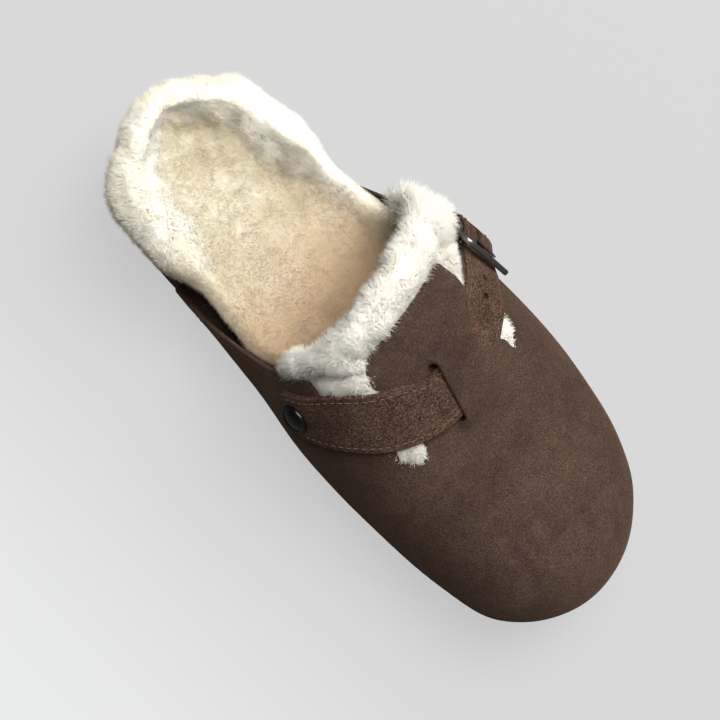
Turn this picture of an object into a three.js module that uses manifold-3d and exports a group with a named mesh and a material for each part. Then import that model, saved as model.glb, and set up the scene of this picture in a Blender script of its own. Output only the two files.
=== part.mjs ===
// A left-foot open-back clog: a suede upper pulled over a last, with a centre tab, two notches and an instep
// strap that a buckle closes on the outer side, on a cork and foam sole and lined throughout with shearling.
// Millimetres. +Y runs from heel to toe, +X to the inner side of the foot, +Z up; the sole stands on Z = 0.
import * as THREE from "three";
import { mergeVertices } from "three/addons/utils/BufferGeometryUtils.js";
import Module from "manifold-3d";

const wasm = await Module();
wasm.setup();

// ---------------------------------------------------------------- driving dimensions
const GAP = 0.3; // between any two pieces that touch
const TOE_Y = 122; // the sole's foremost point
const HEEL_Y = -125; // the sole's rearmost point
const WIDTH_SCALE = 1; // the sole's width, as a share of the width in SOLE_WIDTHS
const TOE_TURN = 6; // how far the toe's tip lies to the inner side of the heel's
const TOE_SPRING = 7; // how far the toe's tip lifts off the floor
const SPRING_FROM = 55; // where the sole starts to lift

const OUTSOLE_THICK = 9;
const MIDSOLE_THICK = 6.5;
const MIDSOLE_INSET = 1;
const TREAD_DEPTH = 2;
const TREAD_WIDTH = 3;
const TREAD_PITCH = 13;

const SUEDE = 1.6; // the upper's thickness
const BULGE = 4.6; // how far the upper swells past the sole's edge
const WIDEST_RISE = 8; // height of the widest line over the feather edge
const LASTING_MARGIN = 8; // the upper's turned-in edge, under the footbed
const REAR_Y = -69; // where the upper ends on each side
const TOE_BOX_Z = 58; // ridge height over the toe pole
const RIDGE_RISE = 0.0757; // ridge height gained per mm ** RIDGE_POWER behind the toe pole
const RIDGE_POWER = 1.35;
const ARCH_POWER = 2.25; // superellipse power of the upper's cross-section

const FOOTBED_INSET = 2;
const FOOTBED_MID = 7.5; // cork thickness under the foot
const HEEL_CUP = 13; // how far the cup's rim stands over the middle of the heel
const TOE_RIM = 3.5;
const JUTE = 1;
const SOCK_PILE = 8;
const SOCK_OVERHANG = 7;
const RIM_SWELL = 3.5; // how much thicker the pile stands on the heel cup's rim

const LINING_PILE = 6.5;
const STRAP_WIDTH = 20;
const STRAP_FACE = 1.1;
const STRAP_BACKING = 0.8;
const TAB_LIFT = 4; // the tab rides this far up over the strap that passes under it
const STRAP_DIP = 0.7; // how far the strap sinks in to pass under the tab

const STUD_RADIUS = 6.2;
const STUD_HEIGHT = 2.2;
const SHANK_RADIUS = 1.5;
const BAR_RADIUS = 1.1;
const BAR_CLEARANCE = 0.08;
const BASE_RADIUS = 4; // a rivet's base, inside the upper
const FRAME_THICK = 2.2;
const CHAPE_THICK = 1;
const CHAPE_WIDTH = 18;
const BUCKLE_REACH = 15; // from the hinge bar to the front bar
const BUCKLE_INNER = 23;
const BUCKLE_RAIL = 3;
const PRONG_WIDTH = 2.4;

// ---------------------------------------------------------------- values that follow from them
const OUTER = -1; // the foot's outer side, towards -X
const INNER = 1;
const MID_Y = (TOE_Y + HEEL_Y) / 2;
const HALF_LENGTH = (TOE_Y - HEEL_Y) / 2;
const TOE_POLE_Y = TOE_Y - 38;
const HEEL_POLE_Y = HEEL_Y + 34;
const MIDSOLE_TOP = OUTSOLE_THICK + GAP + MIDSOLE_THICK;
const FEATHER_Z = MIDSOLE_TOP + GAP + SUEDE; // the last's lower edge, where the suede turns under
const STRAP_THICK = STRAP_BACKING + GAP + STRAP_FACE;
const STRAP_REST = SUEDE + GAP + 0.15; // the strap's underside, where it lies on the upper
const LOOP_RADIUS = BAR_RADIUS + BAR_CLEARANCE + CHAPE_THICK;

// Half-widths of the sole at stations along its length: [y, inner side, outer side].
const SOLE_WIDTHS = [
  [TOE_Y, 0, 0],
  [119, 14, 15],
  [112, 25.5, 26.5],
  [102, 33.5, 35.5],
  [85, 38.5, 42.5],
  [60, 42.8, 45.8],
  [35, 44, 46.5],
  [8, 42, 45],
  [-22, 37, 40.5],
  [-52, 33.5, 35.5],
  [-80, 32, 33],
  [-105, 27.5, 28],
  [-118, 18, 18],
  [HEEL_Y, 0, 0],
];

// The collar's height, measured along the upper from its feather edge: [y, height].
const COLLAR = [
  [REAR_Y, 4],
  [-60, 7],
  [-50, 13],
  [-40, 20.5],
  [-30, 29],
  [-20, 38],
  [-12, 45],
];

// Pattern points [across, along] of the tab and the notches beside it, inner side to outer side.
const TAB_EDGE = [
  [46.5, -7], [44.5, 4], [39.5, 19], [34.5, 32], [33, 39], [28.5, 43.5], [24, 40], [23.5, 31], [24.5, 20],
  [25.5, 12], [24, 5.5], [19, 2], [10, 1.2], [0, 0], [-10, -1.6], [-18, -3.6], [-23, -4.6], [-25, -1],
  [-23.4, 6], [-19.5, 13], [-14.5, 21], [-13.5, 27.5], [-17, 30], [-22, 30.5], [-24, 35], [-27.5, 38],
  [-31, 35], [-33, 28], [-37.5, 15], [-43.5, -1], [-46.5, -11],
];

// The strap's centreline in pattern points, from its riveted end to its free end.
const STRAP_LINE = [
  [68, -4.5], [56, 4], [42, 15], [28, 25], [14, 30.5], [0, 30.5], [-14, 25.5], [-28, 17.5],
  [-44, 6], [-58, -5], [-72, -16.5], [-84, -26.5],
];
const SLIT = { from: [4.6, 20.5], to: [8.2, 41], width: 4.6 };
const STUD_AT = 7.5; // along the strap, from its riveted end
const BUCKLE_AT = 136; // along the strap, to the middle of the buckle
const HOLES_AT = [112, 120, 150.5]; // the strap's spare holes
const HOLE_RADIUS = 1.3;
const CHAPE_END = 29; // along the strap, from the hinge bar to the chape's lower end
const CHAPE_RIVET_AT = 23.5;

// ---------------------------------------------------------------- small helpers
const clamp = (v, lo, hi) => Math.min(hi, Math.max(lo, v));
const smooth = (a, b, v) => {
  const s = clamp((v - a) / (b - a), 0, 1);
  return s * s * (3 - 2 * s);
};
const softBelow = (v, top, s = 10) => v - s * Math.log1p(Math.exp((v - top) / s));
const softAbove = (v, low, s = 10) => -softBelow(-v, -low, s);

// A smooth curve through value rows [key, value], with the keys rising or falling.
function through(rows, key) {
  const up = rows[rows.length - 1][0] > rows[0][0] ? 1 : -1;
  let i = 0;
  while (i < rows.length - 2 && up * key > up * rows[i + 1][0]) i++;
  const slope = (j) => {
    const a = rows[Math.max(j - 1, 0)];
    const b = rows[Math.min(j + 1, rows.length - 1)];
    return (b[1] - a[1]) / (b[0] - a[0]);
  };
  const [k0, v0] = rows[i];
  const [k1, v1] = rows[i + 1];
  const h = k1 - k0;
  const s = clamp((key - k0) / h, 0, 1);
  const [s2, s3] = [s * s, s * s * s];
  return (2 * s3 - 3 * s2 + 1) * v0 + (s3 - 2 * s2 + s) * h * slope(i)
    + (3 * s2 - 2 * s3) * v1 + (s3 - s2) * h * slope(i + 1);
}

// ---------------------------------------------------------------- the sole's outline
// A turn of 0 is the toe's tip and PI the heel's, on either side.
const turnOf = (y) => Math.acos(clamp((y - MID_Y) / HALF_LENGTH, -1, 1));
const yOf = (turn) => MID_Y + HALF_LENGTH * Math.cos(turn);
const axisX = (y) => TOE_TURN * smooth(40, TOE_Y, y);
const INNER_WIDTHS = SOLE_WIDTHS.map(([y, inner]) => [turnOf(y), inner * WIDTH_SCALE]);
const OUTER_WIDTHS = SOLE_WIDTHS.map(([y, , outer]) => [turnOf(y), outer * WIDTH_SCALE]);
const halfWidth = (side, turn) => through(side === INNER ? INNER_WIDTHS : OUTER_WIDTHS, turn);
const edgeXY = (side, turn) => {
  const y = yOf(turn);
  return [axisX(y) + side * halfWidth(side, turn), y];
};
const spring = (y) => TOE_SPRING * (Math.max(0, y - SPRING_FROM) / (TOE_Y - SPRING_FROM)) ** 2;

// ---------------------------------------------------------------- the last
// The last is held as a net of sections, each running from the ridge out and down to the feather edge and in
// beneath the foot. Every point also has a place on the flat pattern: how far along its section it lies.
const BLEND = 20;
function ridgeBehind(y) {
  if (y <= TOE_POLE_Y - BLEND) return y;
  if (y >= TOE_POLE_Y + BLEND) return TOE_POLE_Y;
  return TOE_POLE_Y - (TOE_POLE_Y + BLEND - y) ** 2 / (4 * BLEND);
}
function section(side, y) {
  const turn = turnOf(y);
  const [x] = edgeXY(side, turn);
  const ridgeY = ridgeBehind(y);
  const reach = Math.hypot(x, y - ridgeY);
  return { ridgeY, way: [x / reach, (y - ridgeY) / reach], reach, lift: spring(y) };
}

const CURVE_STEPS = 48;
function profile({ ridgeY, reach, lift }) {
  const wide = reach + BULGE;
  const low = FEATHER_Z + lift;
  const widest = low + WIDEST_RISE;
  const rise = TOE_BOX_Z + RIDGE_RISE * Math.max(0, TOE_POLE_Y - ridgeY) ** RIDGE_POWER - widest;
  const power = 2 / ARCH_POWER;
  const rows = [];
  const add = (r, z) => {
    const last = rows[rows.length - 1] ?? [r, z, 0];
    rows.push([r, z, last[2] + Math.hypot(r - last[0], z - last[1])]);
  };
  for (let i = 0; i <= CURVE_STEPS; i++) {
    const a = (i / CURVE_STEPS) * (Math.PI / 2);
    add(wide * Math.sin(a) ** power, widest + rise * Math.max(0, Math.cos(a)) ** power);
  }
  const shoulder = rows[rows.length - 1][2];
  for (let i = 1; i <= 12; i++) {
    const a = (i / 12) * (Math.PI / 2);
    add(wide - BULGE * (1 - Math.cos(a)), widest - WIDEST_RISE * Math.sin(a));
  }
  return { rows, shoulder, girth: rows[rows.length - 1][2] };
}
const girth = (side, y) => profile(section(side, y)).girth;

const STATIONS = [
  -106, -90, -76, -62, -52, -42, -32, -22, -12, -3, 5, 11, 15, 19, 23, 27, 31, 35, 39, 43, 51, 60, 69, 78, 87, 96, 105,
  111, 116, 119.5, TOE_Y,
];
const NEAR_RIDGE = [0, 3.5, 7, 10.5, 15, 21];
const SHOULDER_ROWS = 7;
const TUCK_ROWS = 3;
const MARGIN_ROWS = [9, 18];

// The nodes of one section: where each lies on the pattern and in space.
function sectionNodes(side, y) {
  const s = section(side, y);
  const { rows, shoulder, girth: full } = profile(s);
  const lengths = [...NEAR_RIDGE];
  const start = NEAR_RIDGE[NEAR_RIDGE.length - 1];
  for (let i = 1; i <= SHOULDER_ROWS; i++) lengths.push(start + ((shoulder - start) * i) / SHOULDER_ROWS);
  for (let i = 1; i <= TUCK_ROWS; i++) lengths.push(shoulder + ((full - shoulder) * i) / TUCK_ROWS);
  for (const beyond of MARGIN_ROWS) lengths.push(full + beyond);
  return lengths.map((length) => {
    const i = Math.max(1, rows.findIndex((row) => row[2] >= length - 1e-9));
    const [a, b] = [rows[i - 1], rows[i]];
    const f = (length - a[2]) / (b[2] - a[2]);
    const inside = length <= full + 1e-9;
    const r = inside ? a[0] + f * (b[0] - a[0]) : s.reach - (length - full);
    const [x, sy] = [s.way[0] * r, s.ridgeY + s.way[1] * r];
    const inward = spring(Math.min(y, TOE_POLE_Y));
    const z = inside ? a[1] + f * (b[1] - a[1]) : FEATHER_Z + inward + ((s.lift - inward) * r) / s.reach;
    return { flat: [s.way[0] * length, s.ridgeY + s.way[1] * length], at: new THREE.Vector3(x, sy, z) };
  });
}

// The whole net: shared nodes with their normals, and triangles that all panels are cut from.
function buildNet() {
  const columns = [
    ...STATIONS.map((y) => sectionNodes(INNER, y)),
    ...STATIONS.slice(0, -1).reverse().map((y) => sectionNodes(OUTER, y)),
  ];
  const nodes = [];
  const known = new Map();
  const ids = columns.map((column) => column.map((node) => {
    const key = node.flat.map((v) => v.toFixed(3)).join();
    if (!known.has(key)) {
      known.set(key, nodes.length);
      nodes.push({ ...node, normal: new THREE.Vector3() });
    }
    return known.get(key);
  }));
  const triangles = [];
  for (let i = 0; i + 1 < ids.length; i++) {
    for (let k = 0; k + 1 < ids[i].length; k++) {
      const [a, b, c, d] = [ids[i][k], ids[i + 1][k], ids[i + 1][k + 1], ids[i][k + 1]];
      for (const t of [[a, d, c], [a, c, b]]) {
        if (t[0] !== t[1] && t[1] !== t[2] && t[2] !== t[0]) triangles.push(t);
      }
    }
  }
  for (const [a, b, c] of triangles) {
    const n = nodes[b].at.clone().sub(nodes[a].at).cross(nodes[c].at.clone().sub(nodes[a].at));
    for (const id of [a, b, c]) nodes[id].normal.add(n);
  }
  for (const node of nodes) node.normal.normalize();
  return { nodes, triangles };
}
const net = buildNet();

// The triangle of the net over a pattern point, with the point's shares of its three corners.
const located = net.triangles.map((t) => {
  const [[ax, ay], [bx, by], [cx, cy]] = t.map((id) => net.nodes[id].flat);
  const area = (bx - ax) * (cy - ay) - (cx - ax) * (by - ay);
  return { t, ax, ay, bx, by, cx, cy, area };
});
function locate(px, py) {
  let best = null;
  let worst = -Infinity;
  for (const { t, ax, ay, bx, by, cx, cy, area } of located) {
    const u = ((bx - px) * (cy - py) - (cx - px) * (by - py)) / area;
    const v = ((cx - px) * (ay - py) - (ax - px) * (cy - py)) / area;
    const least = Math.min(u, v, 1 - u - v);
    if (least > worst) {
      worst = least;
      best = [t, [u, v, 1 - u - v]];
      if (least > -1e-7) break;
    }
  }
  return best;
}
function onLast(px, py, height) {
  const [ids, shares] = locate(px, py);
  const at = new THREE.Vector3();
  const normal = new THREE.Vector3();
  ids.forEach((id, i) => {
    at.addScaledVector(net.nodes[id].at, shares[i]);
    normal.addScaledVector(net.nodes[id].normal, shares[i]);
  });
  return at.addScaledVector(normal.normalize(), height);
}
const normalAt = (px, py) => onLast(px, py, 1).sub(onLast(px, py, 0));

// ---------------------------------------------------------------- solids
function meshSolid(flat) {
  const geometry = new THREE.BufferGeometry();
  geometry.setAttribute("position", new THREE.Float32BufferAttribute(flat, 3));
  return solidOf(geometry);
}

function solidOf(geometry) {
  const bare = new THREE.BufferGeometry();
  const loose = geometry.index ? geometry.toNonIndexed() : geometry;
  bare.setAttribute("position", loose.getAttribute("position"));
  const merged = mergeVertices(bare, 1e-3);
  const kept = [];
  const index = merged.index.array;
  for (let i = 0; i < index.length; i += 3) {
    const [a, b, c] = [index[i], index[i + 1], index[i + 2]];
    if (a !== b && b !== c && c !== a) kept.push(a, b, c);
  }
  const vertProperties = new Float32Array(merged.attributes.position.array);
  return new wasm.Manifold(new wasm.Mesh({ numProp: 3, vertProperties, triVerts: new Uint32Array(kept) }));
}

function geometryOf(solid) {
  const { vertProperties, triVerts } = solid.getMesh();
  const geometry = new THREE.BufferGeometry();
  geometry.setAttribute("position", new THREE.BufferAttribute(vertProperties, 3));
  geometry.setIndex(new THREE.BufferAttribute(triVerts, 1));
  return geometry;
}

// The net as a flat slab one unit thick, dished so that no two of its faces are level with each other.
const dish = (x, y) => 0.002 * (x * x + y * y);
function buildSlab() {
  const edges = new Map();
  const flat = [];
  const point = (id, level) => {
    const [x, y] = net.nodes[id].flat;
    return [x, y, dish(x, y) + level];
  };
  for (const [a, b, c] of net.triangles) {
    flat.push(...point(a, 1), ...point(b, 1), ...point(c, 1));
    flat.push(...point(a, 0), ...point(c, 0), ...point(b, 0));
    for (const [p, q] of [[a, b], [b, c], [c, a]]) {
      if (edges.has(`${q},${p}`)) edges.delete(`${q},${p}`);
      else edges.set(`${p},${q}`, [p, q]);
    }
  }
  for (const [p, q] of edges.values()) {
    flat.push(...point(p, 0), ...point(q, 0), ...point(q, 1));
    flat.push(...point(p, 0), ...point(q, 1), ...point(p, 1));
  }
  return meshSolid(flat);
}
const slab = buildSlab();

// A panel cut from its flat pattern and laid on the last, from height `under` to height `over`.
function panel(outline, under, over, holes = []) {
  const points = (list) => list.map(([x, y]) => new THREE.Vector2(x, y));
  const shape = new THREE.Shape(points(outline));
  shape.holes = holes.map((hole) => new THREE.Path(points(hole)));
  const cutter = new THREE.ExtrudeGeometry(shape, { depth: 400, bevelEnabled: false }).translate(0, 0, -200);
  const flat = geometryOf(slab.intersect(solidOf(cutter)));
  const position = flat.getAttribute("position");
  for (let i = 0; i < position.count; i++) {
    const [x, y] = [position.getX(i), position.getY(i)];
    const height = position.getZ(i) - dish(x, y) > 0.5 ? over : under;
    const p = onLast(x, y, typeof height === "function" ? height(x, y) : height);
    position.setXYZ(i, p.x, p.y, p.z);
  }
  return solidOf(flat);
}

// A closed body of rings round the sole's outline, from the top's middle out and down to the bottom's middle.
// A ring is { share, out, z }: share 0 is the spine and 1 the outline, out is added beyond it, z(x, y, turn).
const RING_STEPS = 20;
function ringBody(rings) {
  const stations = [];
  for (let i = 0; i <= RING_STEPS; i++) stations.push([INNER, (i / RING_STEPS) * Math.PI]);
  for (let i = RING_STEPS - 1; i > 0; i--) stations.push([OUTER, (i / RING_STEPS) * Math.PI]);
  const rows = rings.map(({ share, out = 0, z }) => stations.map(([side, turn]) => {
    const [ex, ey] = edgeXY(side, turn);
    const sy = clamp(ey, HEEL_POLE_Y, TOE_POLE_Y);
    const sx = axisX(sy);
    const reach = Math.hypot(ex - sx, ey - sy);
    const far = share * reach + share * (typeof out === "function" ? out(ey) : out);
    const [x, y] = [sx + ((ex - sx) / reach) * far, sy + ((ey - sy) / reach) * far];
    return [x, y, typeof z === "function" ? z(x, y, side) : z];
  }));
  const flat = [];
  for (let k = 0; k + 1 < rows.length; k++) {
    for (let i = 0; i < stations.length; i++) {
      const j = (i + 1) % stations.length;
      const [a, b, c, d] = [rows[k][i], rows[k][j], rows[k + 1][j], rows[k + 1][i]];
      if (rings[k + 1].share < rings[k].share) flat.push(...a, ...b, ...d, ...b, ...c, ...d);
      else flat.push(...a, ...b, ...c, ...a, ...c, ...d);
    }
  }
  const solid = meshSolid(flat);
  return solid;
}

// A turned or flat part whose local +Y is laid along `up` and whose origin is at `at`.
function placed(geometry, at, up) {
  const turn = new THREE.Quaternion().setFromUnitVectors(new THREE.Vector3(0, 1, 0), up);
  return solidOf(geometry.clone().applyQuaternion(turn).translate(at.x, at.y, at.z));
}
const turned = (rows, sides = 24) =>
  new THREE.LatheGeometry(rows.map(([r, h]) => new THREE.Vector2(r, h)), sides);
const rod = (radius, low, high, sides = 20) => turned([[0, low], [radius, low], [radius, high], [0, high]], sides);

// ---------------------------------------------------------------- pattern outlines
// Points along the foot of the upper, `margin` beyond the feather edge, between two stations.
function footLine(side, margin, stations) {
  return stations.map((y) => {
    const { way, ridgeY } = section(side, y);
    const far = girth(side, y) + margin;
    return [way[0] * far, ridgeY + way[1] * far];
  });
}
// A pattern point `height` up the upper from its feather edge, at a station behind the toe.
const upFrom = (side, y, height) => footLine(side, -height, [y])[0];
const spaced = (points, count) =>
  new THREE.SplineCurve(points.map(([x, y]) => new THREE.Vector2(x, y)))
    .getSpacedPoints(count).map((p) => [p.x, p.y]);

const FOOT_STATIONS = [
  REAR_Y, -60, -50, -40, -30, -20, -10, 0, 10, 20, 30, 40, 50, 60, 68, 76, 84, 92, 99, 105, 110, 114, 117, 119.5, 121.3,
];
function footRound(margin, from) {
  const used = FOOT_STATIONS.filter((y) => y >= from);
  return [
    ...footLine(INNER, margin, used),
    ...footLine(INNER, margin, [TOE_Y]),
    ...footLine(OUTER, margin, used.reverse()),
  ];
}

// The edge of the upper round the foot's opening, inner side first, `in` mm short of the real edge.
function collarLine(side, short, from = REAR_Y) {
  const line = COLLAR.filter(([y]) => y >= from).map(([y, height]) => upFrom(side, y, height));
  if (!short) return line;
  return line.map(([x, y], i) => {
    const [a, b] = [line[Math.max(0, i - 1)], line[Math.min(line.length - 1, i + 1)]];
    const size = Math.hypot(b[0] - a[0], b[1] - a[1]);
    const way = side === INNER ? 1 : -1;
    return [x - (way * short * (a[1] - b[1])) / size, y + (way * short * (a[0] - b[0])) / size];
  });
}

function upperOutline() {
  return [
    ...footRound(LASTING_MARGIN, REAR_Y),
    ...collarLine(OUTER, 0),
    ...spaced(TAB_EDGE, 76).reverse(),
    ...collarLine(INNER, 0).reverse(),
  ];
}

// The strap's own frame: distance along it and across it.
const strapCurve = new THREE.SplineCurve(STRAP_LINE.map(([x, y]) => new THREE.Vector2(x, y)));
strapCurve.arcLengthDivisions = 400;
const STRAP_LENGTH = strapCurve.getLength();
const strapWay = (along) => strapCurve.getTangentAt(clamp(along / STRAP_LENGTH, 0, 1));
function patternPoint(along, across) {
  const p = strapCurve.getPointAt(clamp(along / STRAP_LENGTH, 0, 1));
  const t = strapWay(along);
  return [p.x + t.y * across, p.y - t.x * across];
}
// The pattern is stretched sideways where the last is steep, so the strap is narrowed there to stay true.
const STRETCH = Array.from({ length: 37 }, (_, i) => {
  const at = clamp((i / 36) * STRAP_LENGTH, 1, STRAP_LENGTH - 1);
  const way = onLast(...patternPoint(at + 1, 0), 0).sub(onLast(...patternPoint(at - 1, 0), 0)).normalize();
  const side = onLast(...patternPoint(at, 8), 0).sub(onLast(...patternPoint(at, -8), 0));
  return [(i / 36) * STRAP_LENGTH, side.addScaledVector(way, -side.dot(way)).length() / 16];
});
const strapPoint = (along, across) => patternPoint(along, across / through(STRETCH, along));

// Where the strap dives: 1 on the middle's side of the slit and 0 on the far side, over a few mm.
const slitX = (y) => SLIT.from[0] + ((y - SLIT.from[1]) * (SLIT.to[0] - SLIT.from[0])) / (SLIT.to[1] - SLIT.from[1]);
const inMiddle = (x, y, soft) => smooth(-SLIT.width / 2, soft, slitX(y) - x) * smooth(-31, -25, x);
const strapSamples = Array.from({ length: 121 }, (_, i) => strapCurve.getPointAt(i / 120));
const offStrap = (x, y) => Math.min(...strapSamples.map((p) => Math.hypot(p.x - x, p.y - y)));
const alongStrap = (x, y) => {
  const distances = strapSamples.map((p) => Math.hypot(p.x - x, p.y - y));
  return (distances.indexOf(Math.min(...distances)) / 120) * STRAP_LENGTH;
};
// How far the tab stands off the last, to let the strap pass beneath it.
const tabLift = (x, y) =>
  TAB_LIFT * inMiddle(x, y, SLIT.width / 2) * (1 - smooth(STRAP_WIDTH / 2 + 0.5, STRAP_WIDTH / 2 + 8, offStrap(x, y)));
// How far the strap climbs to pass over the buckle's bar and the chape.
const HUMP = [
  [BUCKLE_AT - 12, 0],
  [BUCKLE_AT - 6, 0.3],
  [BUCKLE_AT, 2.4],
  [BUCKLE_AT + 5, LOOP_RADIUS * 2 + 0.8],
  [BUCKLE_AT + 10, LOOP_RADIUS * 2 + 0.9],
  [BUCKLE_AT + 16, CHAPE_THICK * 2 + 1.8],
  [BUCKLE_AT + 40, CHAPE_THICK * 2 + 1.2],
];
const hump = (along) => through(HUMP, clamp(along, BUCKLE_AT - 12, BUCKLE_AT + 40));
const strapUnder = (x, y) => STRAP_REST - STRAP_DIP * inMiddle(x, y, 3) + hump(alongStrap(x, y));

// A band of the strap from one end to the other, between two heights over the last, its corners cut round.
const STRAP_STATIONS = (() => {
  const list = [0, 0.6, 1.8, 3, 7.5];
  for (let at = 12; at < BUCKLE_AT - 12; at += 5) list.push(at);
  for (let at = BUCKLE_AT - 12; at < BUCKLE_AT + 19; at += 2) list.push(at);
  return list;
})();
function strapLayer(end, under, over) {
  const corner = 3;
  const stations = [...STRAP_STATIONS.filter((at) => at < end - 4), end - 3, end - 1.8, end - 0.6, end];
  const rows = [-1, -0.6, -0.2, 0.2, 0.6, 1];
  const half = (at) => {
    const d = Math.min(at, end - at, corner);
    return STRAP_WIDTH / 2 - corner + Math.sqrt(corner ** 2 - (corner - d) ** 2);
  };
  const grid = [under, over].map((height) => stations.map((at) => rows.map((row) => {
    const [x, y] = strapPoint(at, row * half(at));
    return onLast(x, y, height(x, y)).toArray();
  })));
  const flat = [];
  const quad = (a, b, c, d) => flat.push(...a, ...b, ...c, ...a, ...c, ...d);
  const [low, high] = grid;
  const [lastI, lastJ] = [stations.length - 1, rows.length - 1];
  for (let i = 0; i < lastI; i++) {
    for (let j = 0; j < lastJ; j++) {
      quad(high[i][j], high[i][j + 1], high[i + 1][j + 1], high[i + 1][j]);
      flat.push(...low[i][j], ...low[i + 1][j + 1], ...low[i][j + 1]);
      flat.push(...low[i][j], ...low[i + 1][j], ...low[i + 1][j + 1]);
    }
    quad(high[i][0], high[i + 1][0], low[i + 1][0], low[i][0]);
    quad(high[i + 1][lastJ], high[i][lastJ], low[i][lastJ], low[i + 1][lastJ]);
  }
  for (let j = 0; j < lastJ; j++) {
    quad(high[0][j + 1], high[0][j], low[0][j], low[0][j + 1]);
    quad(high[lastI][j], high[lastI][j + 1], low[lastI][j + 1], low[lastI][j]);
  }
  const solid = meshSolid(flat);
  return solid.volume() > 0 ? solid : meshSolid(turnedOver(flat));
}
function turnedOver(flat) {
  const out1 = [];
  for (let i = 0; i < flat.length; i += 9) {
    out1.push(...flat.slice(i, i + 3), ...flat.slice(i + 6, i + 9), ...flat.slice(i + 3, i + 6));
  }
  return out1;
}
// A cutter through the strap: a slot `length` long in the strap's direction, or a round hole.
function strapCutter(at, length, width) {
  const [from, to] = [at - (length - width) / 2, at + (length - width) / 2];
  const [a, b] = [from, to].map((along) => onLast(...strapPoint(along, 0), strapUnderAt(along)));
  const up = normalAt(...strapPoint(at, 0));
  const way = b.clone().sub(a);
  const long = way.length();
  const shape = new THREE.Shape();
  const r = width / 2;
  for (let i = 0; i <= 8; i++) {
    const t = Math.PI / 2 + (i / 8) * Math.PI;
    shape[i ? "lineTo" : "moveTo"](r * Math.cos(t), r * Math.sin(t));
  }
  for (let i = 0; i <= 8; i++) {
    const t = -Math.PI / 2 + (i / 8) * Math.PI;
    shape.lineTo(long + r * Math.cos(t), r * Math.sin(t));
  }
  const geometry = new THREE.ExtrudeGeometry(shape, { depth: 24, bevelEnabled: false }).translate(0, 0, -12);
  const x = long > 1e-6 ? way.normalize() : new THREE.Vector3(...alongWay(at));
  const y = up.clone().cross(x).normalize();
  const z = x.clone().cross(y);
  return solidOf(geometry.applyMatrix4(new THREE.Matrix4().makeBasis(x, y, z).setPosition(a)));
}
const alongWay = (at) => {
  const [p, q] = [at - 0.5, at + 0.5].map((along) => onLast(...strapPoint(along, 0), 0));
  return q.sub(p).normalize().toArray();
};
const strapUnderAt = (along) => strapUnder(...strapPoint(along, 0));
const hardware = (along, height) => {
  const [x, y] = strapPoint(along, 0);
  return { at: onLast(x, y, height), up: normalAt(x, y) };
};

// ---------------------------------------------------------------- the sole
function makeOutsole() {
  const body = ringBody([
    { share: 0, z: (x, y) => OUTSOLE_THICK + spring(y) },
    { share: 1, z: (x, y) => OUTSOLE_THICK + spring(y) },
    { share: 1, z: (x, y) => 1.2 + spring(y) },
    { share: 1, out: () => -1.2, z: (x, y) => spring(y) },
    { share: 0, z: (x, y) => spring(y) },
  ]);
  let cut = body;
  const groove = new THREE.BoxGeometry(200, TREAD_WIDTH, TREAD_DEPTH * 2);
  const runs = [[HEEL_Y + 18, HEEL_Y + 62], [-8, SPRING_FROM + 2]];
  for (const [from, to] of runs) {
    for (let y = from; y <= to; y += TREAD_PITCH) cut = cut.subtract(solidOf(groove.clone().translate(0, y, 0)));
  }
  return cut;
}
function makeMidsole() {
  const low = OUTSOLE_THICK + GAP;
  return ringBody([
    { share: 0, z: (x, y) => MIDSOLE_TOP + spring(y) },
    { share: 1, out: () => -MIDSOLE_INSET, z: (x, y) => MIDSOLE_TOP + spring(y) },
    { share: 1, out: () => -MIDSOLE_INSET, z: (x, y) => low + spring(y) },
    { share: 0, z: (x, y) => low + spring(y) },
  ]);
}

// The footbed's upper side: how high it is in the middle and how much its rim stands over that.
const BED_MIDDLE = [[-125, 9], [-85, 9.5], [-40, 12], [0, 10], [40, FOOTBED_MID], [122, FOOTBED_MID - 1.5]];
const BED_RIM = [[-125, HEEL_CUP], [-95, HEEL_CUP], [-62, 8], [-35, 4], [0, 3], [60, TOE_RIM], [122, TOE_RIM]];
const bedFoot = (y) => FEATHER_Z + GAP + spring(y);
const bedTop = (share) => (x, y) => bedFoot(y) + through(BED_MIDDLE, y) + through(BED_RIM, y) * share ** 3;
const bedEdge = (extra) => (y) => -FOOTBED_INSET - extra;
function makeFootbed() {
  return ringBody([
    { share: 0, z: bedTop(0) },
    { share: 0.25, z: bedTop(0.25) },
    { share: 0.5, z: bedTop(0.5) },
    { share: 0.72, z: bedTop(0.72) },
    { share: 1, out: bedEdge(3), z: bedTop(1) },
    { share: 1, out: bedEdge(0.4), z: (x, y) => bedTop(1)(x, y) - 2 },
    { share: 1, out: bedEdge(0), z: (x, y) => bedFoot(y) },
    { share: 0, z: (x, y) => bedFoot(y) },
  ]);
}
function makeJute() {
  const under = (share) => (x, y) => bedTop(share)(x, y) + GAP;
  const over = (share) => (x, y) => under(share)(x, y) + JUTE;
  return ringBody([
    { share: 0, z: over(0) },
    { share: 0.25, z: over(0.25) },
    { share: 0.5, z: over(0.5) },
    { share: 0.72, z: over(0.72) },
    { share: 1, out: bedEdge(3.2), z: over(1) },
    { share: 1, out: bedEdge(3.2), z: under(1) },
    { share: 0.72, z: under(0.72) },
    { share: 0.5, z: under(0.5) },
    { share: 0.25, z: under(0.25) },
    { share: 0, z: under(0) },
  ]);
}
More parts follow.
